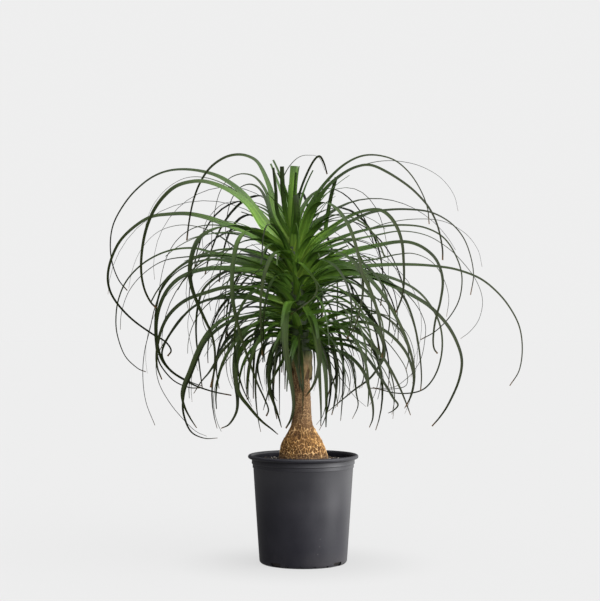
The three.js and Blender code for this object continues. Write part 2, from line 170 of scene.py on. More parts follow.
# The outlines are (radius, height) pairs.
corner = [
    (foot_radius - corner_radius * (1 - math.sin(math.radians(angle))),
     corner_radius * (1 - math.cos(math.radians(angle))))
    for angle in range(0, 91, 15)
]
collars = [
    (0.1052, 0.072), (0.1100, 0.145), (0.1147, 0.2180), (0.1152, 0.2188), (0.1162, 0.2194), (0.1164, 0.2203),
    (0.1161, 0.2262), (0.1163, 0.2272), (0.1178, 0.2279), (0.1185, 0.2288), (0.1181, 0.2366),
    (0.1184, 0.2380),
]
lip = [
    (lip_centre[0] + lip_bead * math.cos(math.radians(angle)),
     lip_centre[1] + lip_bead * math.sin(math.radians(angle)))
    for angle in range(-100, 171, 18)
]
pot_inside = [
    (0.1172, 0.2425), (0.1168, 0.2400), (0.1167, 0.2300), (0.1148, 0.2272), (0.1146, 0.2262),
    (0.1131, 0.2185), (0.1083, 0.145), (0.1034, 0.072), (0.0991, 0.0090), (0.0965, 0.0046), (0.0925, 0.0024),
]


def turned_shell(name, outline, sides, smooth_angle):
    """A round closed shell, extruded from a ring on through each (radius, height), as on a wheel."""
    radius, height = outline[0]
    bpy.ops.object.select_all(action="DESELECT")
    bpy.ops.mesh.primitive_circle_add(vertices=sides, radius=radius, location=(0, 0, height))
    bpy.ops.object.transform_apply(location=True)
    bpy.ops.object.mode_set(mode="EDIT")
    bpy.ops.mesh.select_all(action="SELECT")
    for next_radius, next_height in outline[1:]:
        bpy.ops.mesh.extrude_region_move(TRANSFORM_OT_translate={"value": (0, 0, next_height - height)})
        growth = next_radius / radius
        bpy.ops.transform.resize(value=(growth, growth, 1), center_override=(0, 0, next_height))
        radius, height = next_radius, next_height
    bpy.ops.mesh.edge_face_add()
    # The ring that it started from still has a face on one side only.
    bpy.ops.mesh.select_all(action="DESELECT")
    bpy.ops.mesh.select_mode(type="EDGE")
    bpy.ops.mesh.select_non_manifold(extend=False)
    bpy.ops.mesh.edge_face_add()
    bpy.ops.mesh.select_mode(type="VERT")
    bpy.ops.mesh.select_all(action="SELECT")
    bpy.ops.mesh.normals_make_consistent(inside=False)
    bpy.ops.object.mode_set(mode="OBJECT")
    bpy.ops.object.shade_smooth_by_angle(angle=math.radians(smooth_angle))
    shell = bpy.context.object
    shell.name = name
    return shell


pot = turned_shell("nursery_pot", corner + collars + lip + pot_inside, pot_sides, pot_smooth_angle)

# The drain slots, every fifth of them a large one, each (width, height).
large_slot = (0.027, 0.0105)
small_slot = (0.006, 0.005)
slot_count = 20
slot_spacing = 360 // slot_count
first_slot = -39
slot_depth = 0.016
slot_rounding = 0.0015
cutters = []
for step in range(slot_count):
    width, height = large_slot if step % 5 == 0 else small_slot
    bpy.ops.object.select_all(action="DESELECT")
    slot_size = (width, slot_depth, 2 * height)
    bpy.ops.mesh.primitive_cube_add(size=1, location=(0, -foot_radius, 0), scale=slot_size)
    bpy.ops.object.transform_apply(location=True, scale=True)
    bpy.ops.object.mode_set(mode="EDIT")
    bpy.ops.mesh.bevel(offset=slot_rounding, segments=3, affect="EDGES")
    bpy.ops.object.mode_set(mode="OBJECT")
    cutter = bpy.context.object
    cutter.rotation_euler = (0, 0, math.radians(first_slot + slot_spacing * step))
    bpy.ops.object.transform_apply(rotation=True)
    cutters.append(cutter)
bpy.ops.object.select_all(action="DESELECT")
for cutter in cutters:
    cutter.select_set(True)
bpy.context.view_layer.objects.active = cutters[0]
bpy.ops.object.join()
slot_cutter = bpy.context.object
bpy.context.view_layer.objects.active = pot
slots = pot.modifiers.new("drain slots", "BOOLEAN")
slots.operation = "DIFFERENCE"
slots.solver = "EXACT"
slots.object = slot_cutter
bpy.ops.object.modifier_apply(modifier=slots.name)
bpy.data.objects.remove(slot_cutter)
bpy.ops.object.select_all(action="DESELECT")
pot.select_set(True)
bpy.ops.object.shade_smooth_by_angle(angle=math.radians(pot_smooth_angle))

# Patches and grain, shared by the materials: a slow mask from 0 to 1, and a fine one.
mottle = bpy.data.node_groups.new("mottle", "ShaderNodeTree")
mottle.interface.new_socket("Vector", in_out="INPUT", socket_type="NodeSocketVector")
mottle.interface.new_socket("Patch Scale", in_out="INPUT", socket_type="NodeSocketFloat")
mottle.interface.new_socket("Grain Scale", in_out="INPUT", socket_type="NodeSocketFloat")
mottle.interface.new_socket("Patches", in_out="OUTPUT", socket_type="NodeSocketFloat")
mottle.interface.new_socket("Grain", in_out="OUTPUT", socket_type="NodeSocketFloat")
mottle_in = mottle.nodes.new("NodeGroupInput")
mottle_out = mottle.nodes.new("NodeGroupOutput")
for scale_name, mask_name, low, high in (
    ("Patch Scale", "Patches", 0.35, 0.65),
    ("Grain Scale", "Grain", 0.25, 0.75),
):
    noise = mottle.nodes.new("ShaderNodeTexNoise")
    noise.inputs["Detail"].default_value = 4
    stretch = mottle.nodes.new("ShaderNodeMapRange")
    stretch.inputs["From Min"].default_value = low
    stretch.inputs["From Max"].default_value = high
    mottle.links.new(mottle_in.outputs["Vector"], noise.inputs["Vector"])
    mottle.links.new(mottle_in.outputs[scale_name], noise.inputs["Scale"])
    mottle.links.new(noise.outputs["Fac"], stretch.inputs["Value"])
    mottle.links.new(stretch.outputs["Result"], mottle_out.inputs[mask_name])


def new_material(name):
    """A material with its node tree, its shader and the coordinates of the part's own frame."""
    material = bpy.data.materials.new(name)
    material.use_nodes = True
    tree = material.node_tree
    coordinates = tree.nodes.new("ShaderNodeTexCoord").outputs["Object"]
    return material, tree, tree.nodes["Principled BSDF"], coordinates


def add_mottle(tree, source, patch_scale, grain_scale):
    """Places the shared patches and grain on a vector output, and returns the two masks."""
    group = tree.nodes.new("ShaderNodeGroup")
    group.node_tree = mottle
    group.inputs["Patch Scale"].default_value = patch_scale
    group.inputs["Grain Scale"].default_value = grain_scale
    tree.links.new(source, group.inputs["Vector"])
    return group.outputs["Patches"], group.outputs["Grain"]


def add_ramp(tree, source, stops):
    """A colour ramp on a value, from (position, (r, g, b)) stops."""
    ramp = tree.nodes.new("ShaderNodeValToRGB")
    while len(ramp.color_ramp.elements) < len(stops):
        ramp.color_ramp.elements.new(0.5)
    for element, (position, color) in zip(ramp.color_ramp.elements, stops):
        element.position = position
        element.color = (*color, 1)
    tree.links.new(source, ramp.inputs["Fac"])
    return ramp.outputs["Color"]


def add_mix(tree, factor, first, second, blend_type="MIX"):
    """Mixes two colours, each an output or an (r, g, b)."""
    blend = tree.nodes.new("ShaderNodeMix")
    blend.data_type = "RGBA"
    blend.blend_type = blend_type
    sockets = (blend.inputs["Factor"], blend.inputs[6], blend.inputs[7])
    for value, socket in zip((factor, first, second), sockets):
        if isinstance(value, bpy.types.NodeSocket):
            tree.links.new(value, socket)
        elif isinstance(value, tuple):
            socket.default_value = (*value, 1)
        else:
            socket.default_value = value
    return blend.outputs[2]


def add_range(tree, source, from_low, from_high, to_low, to_high):
    """Maps a value from one range to another, held within it."""
    stretch = tree.nodes.new("ShaderNodeMapRange")
    for socket, value in zip(list(stretch.inputs)[1:5], (from_low, from_high, to_low, to_high)):
        socket.default_value = value
    tree.links.new(source, stretch.inputs["Value"])
    return stretch.outputs["Result"]


def add_product(tree, first, second):
    """Multiplies two masks."""
    product = tree.nodes.new("ShaderNodeMath")
    product.operation = "MULTIPLY"
    tree.links.new(first, product.inputs[0])
    tree.links.new(second, product.inputs[1])
    return product.outputs["Value"]


def add_height(tree, coordinates):
    """The height of a point above the floor, in metres."""
    place = tree.nodes.new("ShaderNodeSeparateXYZ")
    tree.links.new(coordinates, place.inputs["Vector"])
    return place.outputs["Z"]


def add_bump(tree, source, shader, depth, strength):
    """Raises the surface by a value, in metres."""
    bump = tree.nodes.new("ShaderNodeBump")
    bump.inputs["Distance"].default_value = depth
    bump.inputs["Strength"].default_value = strength
    tree.links.new(source, bump.inputs["Height"])
    tree.links.new(bump.outputs["Normal"], shader.inputs["Normal"])


def paint(piece, material):
    """Gives a piece its one material."""
    piece.data.materials.clear()
    piece.data.materials.append(material)


pot_plastic, tree, shader, coordinates = new_material("charcoal moulded plastic")
worn_patches, moulded_grain = add_mottle(tree, coordinates, 14, 900)
height_up = add_height(tree, coordinates)
plain = add_mix(tree, worn_patches, (0.0135, 0.0132, 0.0175), (0.0185, 0.0180, 0.0230))
# Dust clings near the foot, and a few specks of the mix have splashed on the wall.
dust = add_product(tree, add_range(tree, height_up, 0.0, 0.04, 0.16, 0.0), worn_patches)
dusted = add_mix(tree, dust, plain, (0.075, 0.066, 0.058))
specks = tree.nodes.new("ShaderNodeTexVoronoi")
specks.inputs["Scale"].default_value = 75
tree.links.new(coordinates, specks.inputs["Vector"])
speck_mask = add_range(tree, specks.outputs["Distance"], 0.03, 0.075, 0.8, 0.0)
speckled_patches = add_range(tree, worn_patches, 0.82, 0.95, 0.0, 1.0)
specked = add_mix(tree, add_product(tree, speck_mask, speckled_patches), dusted, (0.17, 0.16, 0.15))
tree.links.new(specked, shader.inputs["Base Color"])
tree.links.new(add_range(tree, worn_patches, 0, 1, 0.31, 0.41), shader.inputs["Roughness"])
# Painted highlight: the sheen rises with height up the wall and falls again on the lip.
# Painted shade: the inner wall above the mix has no sheen.
painted_sheen_levels = [(0.12, 0.20), (0.45, 0.32), (0.80, 0.72), (0.93, 0.60), (0.97, 0.28)]
painted_highlight_sheen = add_ramp(tree, add_range(tree, height_up, 0.0, 0.25, 0.0, 1.0), [
    (share_of_height, (level, level, level)) for share_of_height, level in painted_sheen_levels
])
across_only = tree.nodes.new("ShaderNodeVectorMath")
across_only.operation = "MULTIPLY"
across_only.inputs[1].default_value = (1, 1, 0)
tree.links.new(coordinates, across_only.inputs[0])
from_axis = tree.nodes.new("ShaderNodeVectorMath")
from_axis.operation = "LENGTH"
tree.links.new(across_only.outputs["Vector"], from_axis.inputs[0])
# The inner wall above the mix, which loses its sheen as painted shade.
inside_the_wall = add_range(tree, from_axis.outputs["Value"], 0.1173, 0.1180, 1.0, 0.0)
painted_shade_above_mix = add_range(tree, height_up, 0.2300, 0.2310, 0.0, 0.92)
sheen = add_mix(tree, add_product(tree, inside_the_wall, painted_shade_above_mix), painted_highlight_sheen, (0.0, 0.0, 0.0))
# The mean level holds wherever a sheen can't vary.
shader.inputs["Specular IOR Level"].default_value = 0.4
tree.links.new(sheen, shader.inputs["Specular IOR Level"])
add_bump(tree, moulded_grain, shader, 0.0002, 0.25)
paint(pot, pot_plastic)
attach(pot, "root")
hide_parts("pot")


# ---- The potting mix ----
# Dark, moist mix of composted bark and peat with white perlite, poured round the palm's base and settled a
# finger's width below the lip. Loose bark crumbs and perlite grains lie on it.
mix_sides = 160
mix_side = [
    (0.0925, 0.0027), (0.0984, 0.0095), (0.1080, 0.145), (0.1127, 0.2185), (0.1143, 0.2272), (0.1162, 0.2303),
    (0.1163, 0.2325),
]
mix_edge = (0.1160, 0.2332)
mix_middle = (0.0576, 0.2366)
surface_rings = 34
mix_top = [
    (mix_edge[0] + (mix_middle[0] - mix_edge[0]) * i / surface_rings,
     mix_edge[1] + (mix_middle[1] - mix_edge[1]) * (i / surface_rings) ** 0.8)
    for i in range(surface_rings + 1)
]
planting_hole = [(0.0575, 0.2220), (0.0543, 0.2027), (0.0433, 0.1817), (0.0243, 0.1697)]
potting_mix = turned_shell("potting_mix", mix_side + mix_top + planting_hole, mix_sides, 60)

# The planting hole lies a little to the right of the pot's axis, as the trunk's foot does.
hole_shift = 0.002
shifted_within = 0.080
shift_fades_over = 0.018
for vertex in potting_mix.data.vertices:
    reach = math.hypot(vertex.co.x, vertex.co.y)
    vertex.co.x += hole_shift * min(1.0, max(0.0, (shifted_within - reach) / shift_fades_over))

# The open surface is lumpy between the trunk and the wall.
lumpy_above = 0.2325
lumpy_from, lumpy_to = 0.0600, 0.1140
open_surface = potting_mix.vertex_groups.new(name="open surface")
open_surface.add([
    vertex.index for vertex in potting_mix.data.vertices
    if vertex.co.z > lumpy_above and lumpy_from < math.hypot(vertex.co.x, vertex.co.y) < lumpy_to
], 1.0, "REPLACE")
for texture_name, size, relief in (("settled waves", 0.03, 0.006), ("clods", 0.006, 0.0035)):
    clouds = bpy.data.textures.new(texture_name, "CLOUDS")
    clouds.noise_scale = size
    clouds.noise_depth = 3
    lumps = potting_mix.modifiers.new(texture_name, "DISPLACE")
    lumps.texture = clouds
    lumps.texture_coords = "LOCAL"
    lumps.direction = "Z"
    lumps.mid_level = 0.55
    lumps.strength = relief
    lumps.vertex_group = open_surface.name
    bpy.ops.object.modifier_apply(modifier=lumps.name)

mix_material, tree, shader, coordinates = new_material("potting mix")
damp_patches, _ = add_mottle(tree, coordinates, 90, 700)
crumbs = tree.nodes.new("ShaderNodeTexVoronoi")
crumbs.inputs["Scale"].default_value = 340
tree.links.new(coordinates, crumbs.inputs["Vector"])
earth = add_mix(tree, damp_patches, (0.0055, 0.0042, 0.0035), (0.020, 0.014, 0.010))
crumb_tint = add_ramp(tree, crumbs.outputs["Color"], [
    (0.0, (0.5, 0.45, 0.4)), (0.7, (1.0, 0.95, 0.9)), (1.0, (2.2, 1.9, 1.6)),
])
tree.links.new(add_mix(tree, 1.0, earth, crumb_tint, "MULTIPLY"), shader.inputs["Base Color"])
shader.inputs["Roughness"].default_value = 0.92
add_bump(tree, crumbs.outputs["Distance"], shader, 0.0025, 0.8)
paint(potting_mix, mix_material)
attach(potting_mix, "root")
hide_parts("potting_soil")


class Draw:
    """Repeatable random numbers for one piece."""

    def __init__(self, seed):
        self.state = seed

    def __call__(self, low=0.0, high=1.0):
        self.state = (self.state * 1664525 + 1013904223) % 2**32
        return low + (high - low) * self.state / 2**32


def scattered_grains(name, seed, count, smallest, largest, spread):
    """Rough grains with a few faces each, lying half sunk on the potting mix, joined in one mesh."""
    above_everything = 0.3
    clear_of_wall = 0.1155
    bpy.ops.object.select_all(action="DESELECT")
    bpy.ops.mesh.primitive_ico_sphere_add(subdivisions=1, radius=1)
    pattern = bpy.context.object
    corners = np.array([vertex.co[:] for vertex in pattern.data.vertices])
    triangles = np.array([polygon.vertices[:] for polygon in pattern.data.polygons])
    bpy.data.objects.remove(pattern)
    draw = Draw(seed)
    places, faces = [], []
    while len(places) < count:
        angle = draw(0, 2 * math.pi)
        radius = draw(*spread)
        size = draw(smallest, largest)
        overhead = Vector((radius * math.cos(angle), radius * math.sin(angle), above_everything))
        hit, point, _, _ = potting_mix.ray_cast(overhead, Vector((0, 0, -1)))
        stretch = np.array([draw(0.7, 1.5), draw(0.5, 1.0), draw(0.35, 0.8)]) * size
        bumps = np.array([draw(0.75, 1.2) for _ in corners])[:, None]
        turn, tilt = draw(0, 2 * math.pi), draw(-0.6, 0.6)
        if not hit or radius + size * 1.5 > clear_of_wall:
            continue
        grain = corners * bumps * stretch
        grain = grain @ np.array(Matrix.Rotation(tilt, 3, "X")) @ np.array(Matrix.Rotation(turn, 3, "Z"))
        faces.append(triangles + len(places) * len(corners))
        places.append(grain + np.array(point) + (0, 0, 0.25 * size))
    mesh = bpy.data.meshes.new(name)
    mesh.from_pydata(np.concatenate(places).tolist(), [], np.concatenate(faces).tolist())
    grains = bpy.data.objects.new(name, mesh)
    bpy.context.scene.collection.objects.link(grains)
    return grains


bark_crumbs = scattered_grains("bark_crumbs", 11, 620, 0.0012, 0.0038, (0.060, 0.113))
crumb_material, tree, shader, coordinates = new_material("composted bark")
aged_patches, rotted_grain = add_mottle(tree, coordinates, 160, 1200)
crumb_color = add_ramp(tree, aged_patches, [
    (0.0, (0.007, 0.005, 0.004)), (0.6, (0.026, 0.017, 0.011)), (0.95, (0.085, 0.055, 0.032)),
])
tree.links.new(crumb_color, shader.inputs["Base Color"])
shader.inputs["Roughness"].default_value = 0.85
add_bump(tree, rotted_grain, shader, 0.0006, 0.6)
paint(bark_crumbs, crumb_material)
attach(bark_crumbs, "root")

perlite = scattered_grains("perlite_grains", 29, 190, 0.0009, 0.0026, (0.0595, 0.113))
perlite_material, tree, shader, coordinates = new_material("perlite")
stained_patches, foamed_grain = add_mottle(tree, coordinates, 260, 1500)
perlite_color = add_mix(tree, stained_patches, (0.72, 0.70, 0.66), (0.40, 0.35, 0.29))
tree.links.new(perlite_color, shader.inputs["Base Color"])
shader.inputs["Roughness"].default_value = 0.9
add_bump(tree, foamed_grain, shader, 0.0004, 0.7)
paint(perlite, perlite_material)
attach(perlite, "root")


# ---- The trunk ----
# The palm's woody stem, grown in one piece: a swollen base half buried in the mix, whose bark has split into
# a raised golden net, and a slender neck with finer, ringed bark. It leans a little to the left.
trunk_sides = 288
bark_row = 0.0011
bark_bottom = 0.2400
trunk_foot = [(0.024, 0.170), (0.043, 0.182), (0.054, 0.203), (0.057, 0.222), (0.057, 0.240)]
trunk_outline = [
    (0.0570, 0.240), (0.0550, 0.247), (0.0527, 0.256), (0.0495, 0.269), (0.0447, 0.281), (0.0374, 0.2925),
    (0.0305, 0.304), (0.0250, 0.315), (0.0226, 0.328), (0.0215, 0.342), (0.0210, 0.360), (0.0204, 0.385),
    (0.0198, 0.415), (0.0196, 0.442),
]
bark_top = trunk_outline[-1][1]
# The (x, height) of the stem's centre.
stem_lean = [
    (0.002, 0.160), (0.0010, 0.250), (-0.0028, 0.288), (-0.0028, 0.340), (-0.005, 0.442), (-0.013, 0.560),
    (-0.019, 0.660), (-0.023, 0.780),
]


def read_at(pairs, height):
    """Reads the first number of (number, height) pairs at any height, or at an array of heights."""
    return np.interp(height, [pair[1] for pair in pairs], [pair[0] for pair in pairs])


bark_heights = np.arange(bark_bottom + bark_row, bark_top - bark_row / 2, bark_row)
bark_rings = [(float(read_at(trunk_outline, z)), float(z)) for z in bark_heights] + [trunk_outline[-1]]
trunk = turned_shell("palm_trunk", trunk_foot + bark_rings, trunk_sides, 80)


def cell_chance(column, row, column_weight, row_weight, seed):
    """A repeatable number from 0 to 1 for each cell of a pattern."""
    return np.mod(np.sin(column * column_weight + row * row_weight + seed) * 43758.5453, 1)


def cell_borders(angle, height, columns, row_height, seed):
    """How near a point lies to the borders of uneven cells wrapped round the trunk: 0 on a border."""
    across = angle / (2 * math.pi) * columns
    up = height / row_height
    far_away = 9.0
    nearest = np.full(angle.shape, far_away)
    second = np.full(angle.shape, far_away)
    for column_step in (-1, 0, 1):
        for row_step in (-2, -1, 0, 1, 2):
            column = np.floor(across) + column_step
            row = np.floor(up) + row_step
            wrapped = np.mod(column, columns)
            jitter_x = cell_chance(wrapped, row, 127.1, 311.7, seed)
            jitter_y = cell_chance(wrapped, row, 269.5, 183.3, seed)
            distance = np.hypot(across - column - 0.1 - 0.8 * jitter_x, up - row - 0.1 - 0.8 * jitter_y)
            second = np.minimum(second, np.maximum(nearest, distance))
            nearest = np.minimum(nearest, distance)
    return second - nearest


def bark_net(turned, raised, columns, row_height, cord_width, seed):
    """A net wrapped round the trunk, which wanders by a turn and a rise: 1 on its cords, 0 between them."""
    border = cell_borders(angle + turned * wander, height + raised * wander, columns, row_height, seed)
    return np.exp(-((border / cord_width) ** 2))


bark_points = np.array([vertex.co[:] for vertex in trunk.data.vertices])
angle = np.arctan2(bark_points[:, 1], bark_points[:, 0])
height = bark_points[:, 2]
radius = np.hypot(bark_points[:, 0], bark_points[:, 1])
# How far the relief has risen above the mix and not yet sunk under the dry bases, and which part of the trunk
# a point is on, each from 0 to 1.
base_top, shoulder_foot = 0.335, 0.262
fade_in = np.clip((height - bark_bottom) / 0.010, 0, 1)
fade_out = np.clip((bark_top - height) / 0.012, 0, 1)
on_base = np.clip((base_top - height) / 0.030, 0, 1)
on_shoulder = np.clip((height - shoulder_foot) / 0.045, 0, 1)
wander = np.sin(3 * angle + height * 75) + 0.6 * np.sin(7 * angle - height * 160)
wander += 0.4 * np.sin(17 * angle + height * 90)
worn = 0.5 + 0.5 * np.sin(13 * angle + 3 * np.sin(height * 300)) * np.sin(7 * angle - height * 480)

# The base: a coarse net low down, upright strokes in its place on the shoulder, and dark cracks between them.
cords = bark_net(0.06, 0.0026, 50, 0.0098, 0.15, 3.1) * (0.70 + 0.30 * worn)
cracks = bark_net(-0.03, -0.0016, 62, 0.0076, 0.20, 8.7)
strokes = bark_net(0.03, 0.0, 30, 0.0190, 0.19, 6.4) * (0.25 + 0.75 * worn)
raised_bark = (1 - on_shoulder) * cords + on_shoulder * strokes
base_ridge = np.clip(0.34 + 0.66 * raised_bark - 0.34 * cracks * (1 - raised_bark), 0, 1)
# The neck: flat rings over a net of fine upright cracks.
neck_rings = bark_net(0.05, 0.0012, 13, 0.0040, 0.20, 5.3)
neck_cracks = bark_net(0.04, 0.0, 34, 0.0100, 0.18, 1.9)
neck_ridge = 0.55 * neck_rings + 0.45 * neck_cracks
ridge = on_base * base_ridge + (1 - on_base) * neck_ridge
# How high each kind of bark stands over its cracks, how deep these lie under the outline, and the broad,
# shallow folds that run up the base, in metres.
base_net, base_cracks = 0.0032, 0.0015
neck_net, neck_furrows = 0.0011, 0.0005
fold_depth = 0.0008
relief = on_base * (base_net * base_ridge - base_cracks)
relief += (1 - on_base) * (neck_net * neck_ridge - neck_furrows)
relief += fold_depth * np.sin(5 * angle + 2.0 * np.sin(height * 90)) * on_base
swell = 1 + fade_in * fade_out * relief / np.maximum(radius, 0.01)
bark_points[:, 0] = bark_points[:, 0] * swell + read_at(stem_lean, height)
bark_points[:, 1] *= swell
trunk.data.vertices.foreach_set("co", bark_points.ravel())
trunk.data.attributes.new("ridge", "FLOAT", "POINT").data.foreach_set("value", ridge)
trunk.data.update()


def add_attribute(tree, name):
    """A value that is stored on the mesh."""
    stored = tree.nodes.new("ShaderNodeAttribute")
    stored.attribute_name = name
    return stored.outputs["Fac"]


bark_material, tree, shader, coordinates = new_material("netted bark")
ridge_value = add_attribute(tree, "ridge")
weathered_patches, corky_grain = add_mottle(tree, coordinates, 42, 650)
height_up = add_height(tree, coordinates)
base_bark = add_ramp(tree, ridge_value, [
    (0.0, (0.040, 0.018, 0.006)), (0.34, (0.160, 0.078, 0.021)), (0.62, (0.37, 0.205, 0.066)),
    (0.90, (0.95, 0.68, 0.37)),
])
neck_bark = add_ramp(tree, ridge_value, [
    (0.0, (0.110, 0.060, 0.029)), (0.4, (0.235, 0.140, 0.066)), (1.0, (0.52, 0.36, 0.190)),
])
bark_color = add_mix(tree, add_range(tree, height_up, 0.290, 0.335, 0, 1), base_bark, neck_bark)
weathered = add_mix(tree, weathered_patches, (0.62, 0.55, 0.5), (1.12, 1.08, 1.0))
bark_color = add_mix(tree, 1.0, bark_color, weathered, "MULTIPLY")
soil_stain = add_range(tree, height_up, 0.238, 0.258, 0.85, 0.0)
bark_color = add_mix(tree, soil_stain, bark_color, (0.045, 0.026, 0.015))
tree.links.new(bark_color, shader.inputs["Base Color"])
shader.inputs["Roughness"].default_value = 0.78
shader.inputs["Specular IOR Level"].default_value = 0.3
add_bump(tree, corky_grain, shader, 0.0008, 0.7)
paint(trunk, bark_material)
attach(trunk, "root")
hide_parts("trunk")


# ---- The dried leaf bases ----
# Where old leaves have died back, their tan, papery bases still clasp the top of the trunk. They overlap like
# tiles, split into fibres at their ends, and some hang down. A creased ring of older bases lies under them.


def reach_of(line):
    """The level way from the root of a blade to a point where it has settled on its heading."""
    reach = line[math.ceil((len(line) - 1) * 0.7)] - line[0]
    reach[2] = 0
    return reach


def frames_along(line, opened, roll):
    """The directions across and under a blade at each point: opened at its root, then turned by its roll."""
    reach = reach_of(line)
    reach /= max(np.linalg.norm(reach), 1e-9)
    across = np.array([reach[1], -reach[0], 0])
    heading = np.gradient(line, axis=0)
    heading /= np.linalg.norm(heading, axis=1)[:, None]
    level = across - heading * (heading @ across)[:, None]
    level /= np.linalg.norm(level, axis=1)[:, None]
    turned_within = 0.23
    along = np.linspace(0, 1, len(line))
    later = roll * (0.35 + 0.85 * along)
    turn = (later + (opened - later) * np.exp(-((along / turned_within) ** 2)))[:, None]
    side = level * np.cos(turn) + np.cross(heading, level) * np.sin(turn)
    return side, np.cross(heading, side)


def strap(line, half_widths, opened, roll, channel, thickness):
    """The corners of a strap blade: two edges, a sunk middle above and its keel below, at each point."""
    side, under = frames_along(line, opened, roll)
    half = half_widths[:, None]
    sunk = channel * half
    share_at_tip = 0.55
    thick = np.linspace(thickness, share_at_tip * thickness, len(line))[:, None]
    left = line - side * half
    right = line + side * half
    middle = line + under * sunk
    keel = line + under * (sunk + thick)
    return np.stack([left, middle, right, keel], axis=1)


def straps_object(name, straps):
    """Joins straps, each (corners, tone, share of a whole leaf), in one mesh with values along each strap."""
    around = (0.0, 0.5, 1.0, 0.5, 0.0)
    lanes, lane_width = 40, 0.02
    places, faces, spots, along_values, tones = [], [], [], [], []
    start = 0
    for corners, tone, share in straps:
        last = len(corners) - 1
        places.append(corners.reshape(-1, 3))
        strap_spots = []
        for row in range(last):
            ring = start + 4 * row
            for i, j in ((0, 1), (1, 2), (2, 3), (3, 0)):
                faces.append((ring + i, ring + j, ring + 4 + j, ring + 4 + i))
                left, right = around[i:i + 2]
                strap_spots += [(left, row), (right, row), (right, row + 1), (left, row + 1)]
        end = start + 4 * last
        faces.append((start + 3, start + 2, start + 1, start))
        faces.append((end, end + 1, end + 2, end + 3))
        strap_spots += [(across, row) for row in (0, last) for across in around[:4]]
        # A strap's map runs in one of several lanes, so that its fibres differ from its neighbours'.
        lane = math.floor(tone * lanes)
        spots += [((across + lane) * lane_width, row / last) for across, row in strap_spots]
        along_values += [share * row / last for row in range(last + 1) for _ in range(4)]
        tones += [tone] * (4 * len(corners))
        start += 4 * len(corners)
    mesh = bpy.data.meshes.new(name)
    mesh.from_pydata(np.concatenate(places).tolist(), [], faces)
    mesh.uv_layers.new(name="strap").data.foreach_set("uv", np.array(spots).ravel())
    mesh.attributes.new("along", "FLOAT", "POINT").data.foreach_set("value", along_values)
    mesh.attributes.new("tone", "FLOAT", "POINT").data.foreach_set("value", tones)
    piece = bpy.data.objects.new(name, mesh)
    bpy.context.scene.collection.objects.link(piece)
    bpy.ops.object.select_all(action="DESELECT")
    piece.select_set(True)
    bpy.context.view_layer.objects.active = piece
    bpy.ops.object.mode_set(mode="EDIT")
    bpy.ops.mesh.select_all(action="SELECT")
    bpy.ops.mesh.normals_make_consistent(inside=False)
    bpy.ops.object.mode_set(mode="OBJECT")
    bpy.ops.object.shade_smooth_by_angle(angle=math.radians(28))
    return piece


dry_points = 9
dry_lowest, dry_highest = 0.385, 0.4855
least_rise = 1e-5
# Each base stands a golden angle on from the one below it, in degrees.
leaf_turn = 137.508
clasped_outline = [(0.0206, 0.385), (0.0198, 0.418), (0.0200, 0.442), (0.0240, 0.486)]
dry_kinds = [
    # count, lowest and highest root, lengths, widths, how far they stand off, 1 for upright or -1 for hanging
    (38, (0.4180, 0.4660), (0.026, 0.050), (0.012, 0.020), (0.0000, 0.0030), 1),
    (10, (0.4560, 0.4800), (0.030, 0.070), (0.006, 0.010), (0.0015, 0.0080), -1),
]
draw = Draw(401)
dry_straps = []
steps = np.linspace(0, 1, dry_points)
for count, roots, lengths, base_widths, flares, way_up in dry_kinds:
    for index in range(count):
        bearing = math.radians(index * leaf_turn) + draw(-0.3, 0.3) + draw(-0.35, 0.35) * steps
        root = roots[0] + (roots[1] - roots[0]) * (index + 0.5) / count
        length, base_width, flare = draw(*lengths), draw(*base_widths), draw(*flares)
        level = np.clip(root + way_up * length * steps, dry_lowest, dry_highest)
        level += least_rise * np.arange(dry_points)
        bowed = 0.0026 * np.sin(np.pi * steps) ** 0.7
        distance = read_at(clasped_outline, level) - 0.0007 + bowed + flare * steps**2
        line = np.stack([
            read_at(stem_lean, level) + distance * np.cos(bearing), distance * np.sin(bearing), level,
        ], axis=1)
        half_widths = 0.5 * base_width * (0.06 + 0.94 * np.sin(np.pi * (0.16 + 0.84 * steps)) ** 0.7)
        dry_straps.append((strap(line, half_widths, 0.0, draw(-0.35, 0.35), 0.30, 0.0007), draw(), 1))
dry_bases = straps_object("dried_leaf_bases", dry_straps)

ring_outline = [(0.0200, 0.4423), (0.0212, 0.452), (0.0222, 0.464), (0.0232, 0.476), (0.0240, 0.4860)]
crease_depth = 0.045
dry_ring = turned_shell("clasping_ring", ring_outline, 64, 50)
for vertex in dry_ring.data.vertices:
    turn = math.atan2(vertex.co.y, vertex.co.x)
    crease = 1 - crease_depth * abs(math.sin(6.5 * turn + 260 * vertex.co.z))
    vertex.co.x = vertex.co.x * crease + float(read_at(stem_lean, vertex.co.z))
    vertex.co.y *= crease


def add_fibres(tree, across, along, detail):
    """Fine streaks that run along each strap, on its own map."""
    strap_map = tree.nodes.new("ShaderNodeUVMap")
    strap_map.uv_map = "strap"
    squeeze = tree.nodes.new("ShaderNodeMapping")
    squeeze.inputs["Scale"].default_value = (across, along, 1)
    tree.links.new(strap_map.outputs["UV"], squeeze.inputs["Vector"])
    streaks = tree.nodes.new("ShaderNodeTexNoise")
    streaks.inputs["Scale"].default_value = 1
    streaks.inputs["Detail"].default_value = detail
    tree.links.new(squeeze.outputs["Vector"], streaks.inputs["Vector"])
    return streaks.outputs["Fac"]


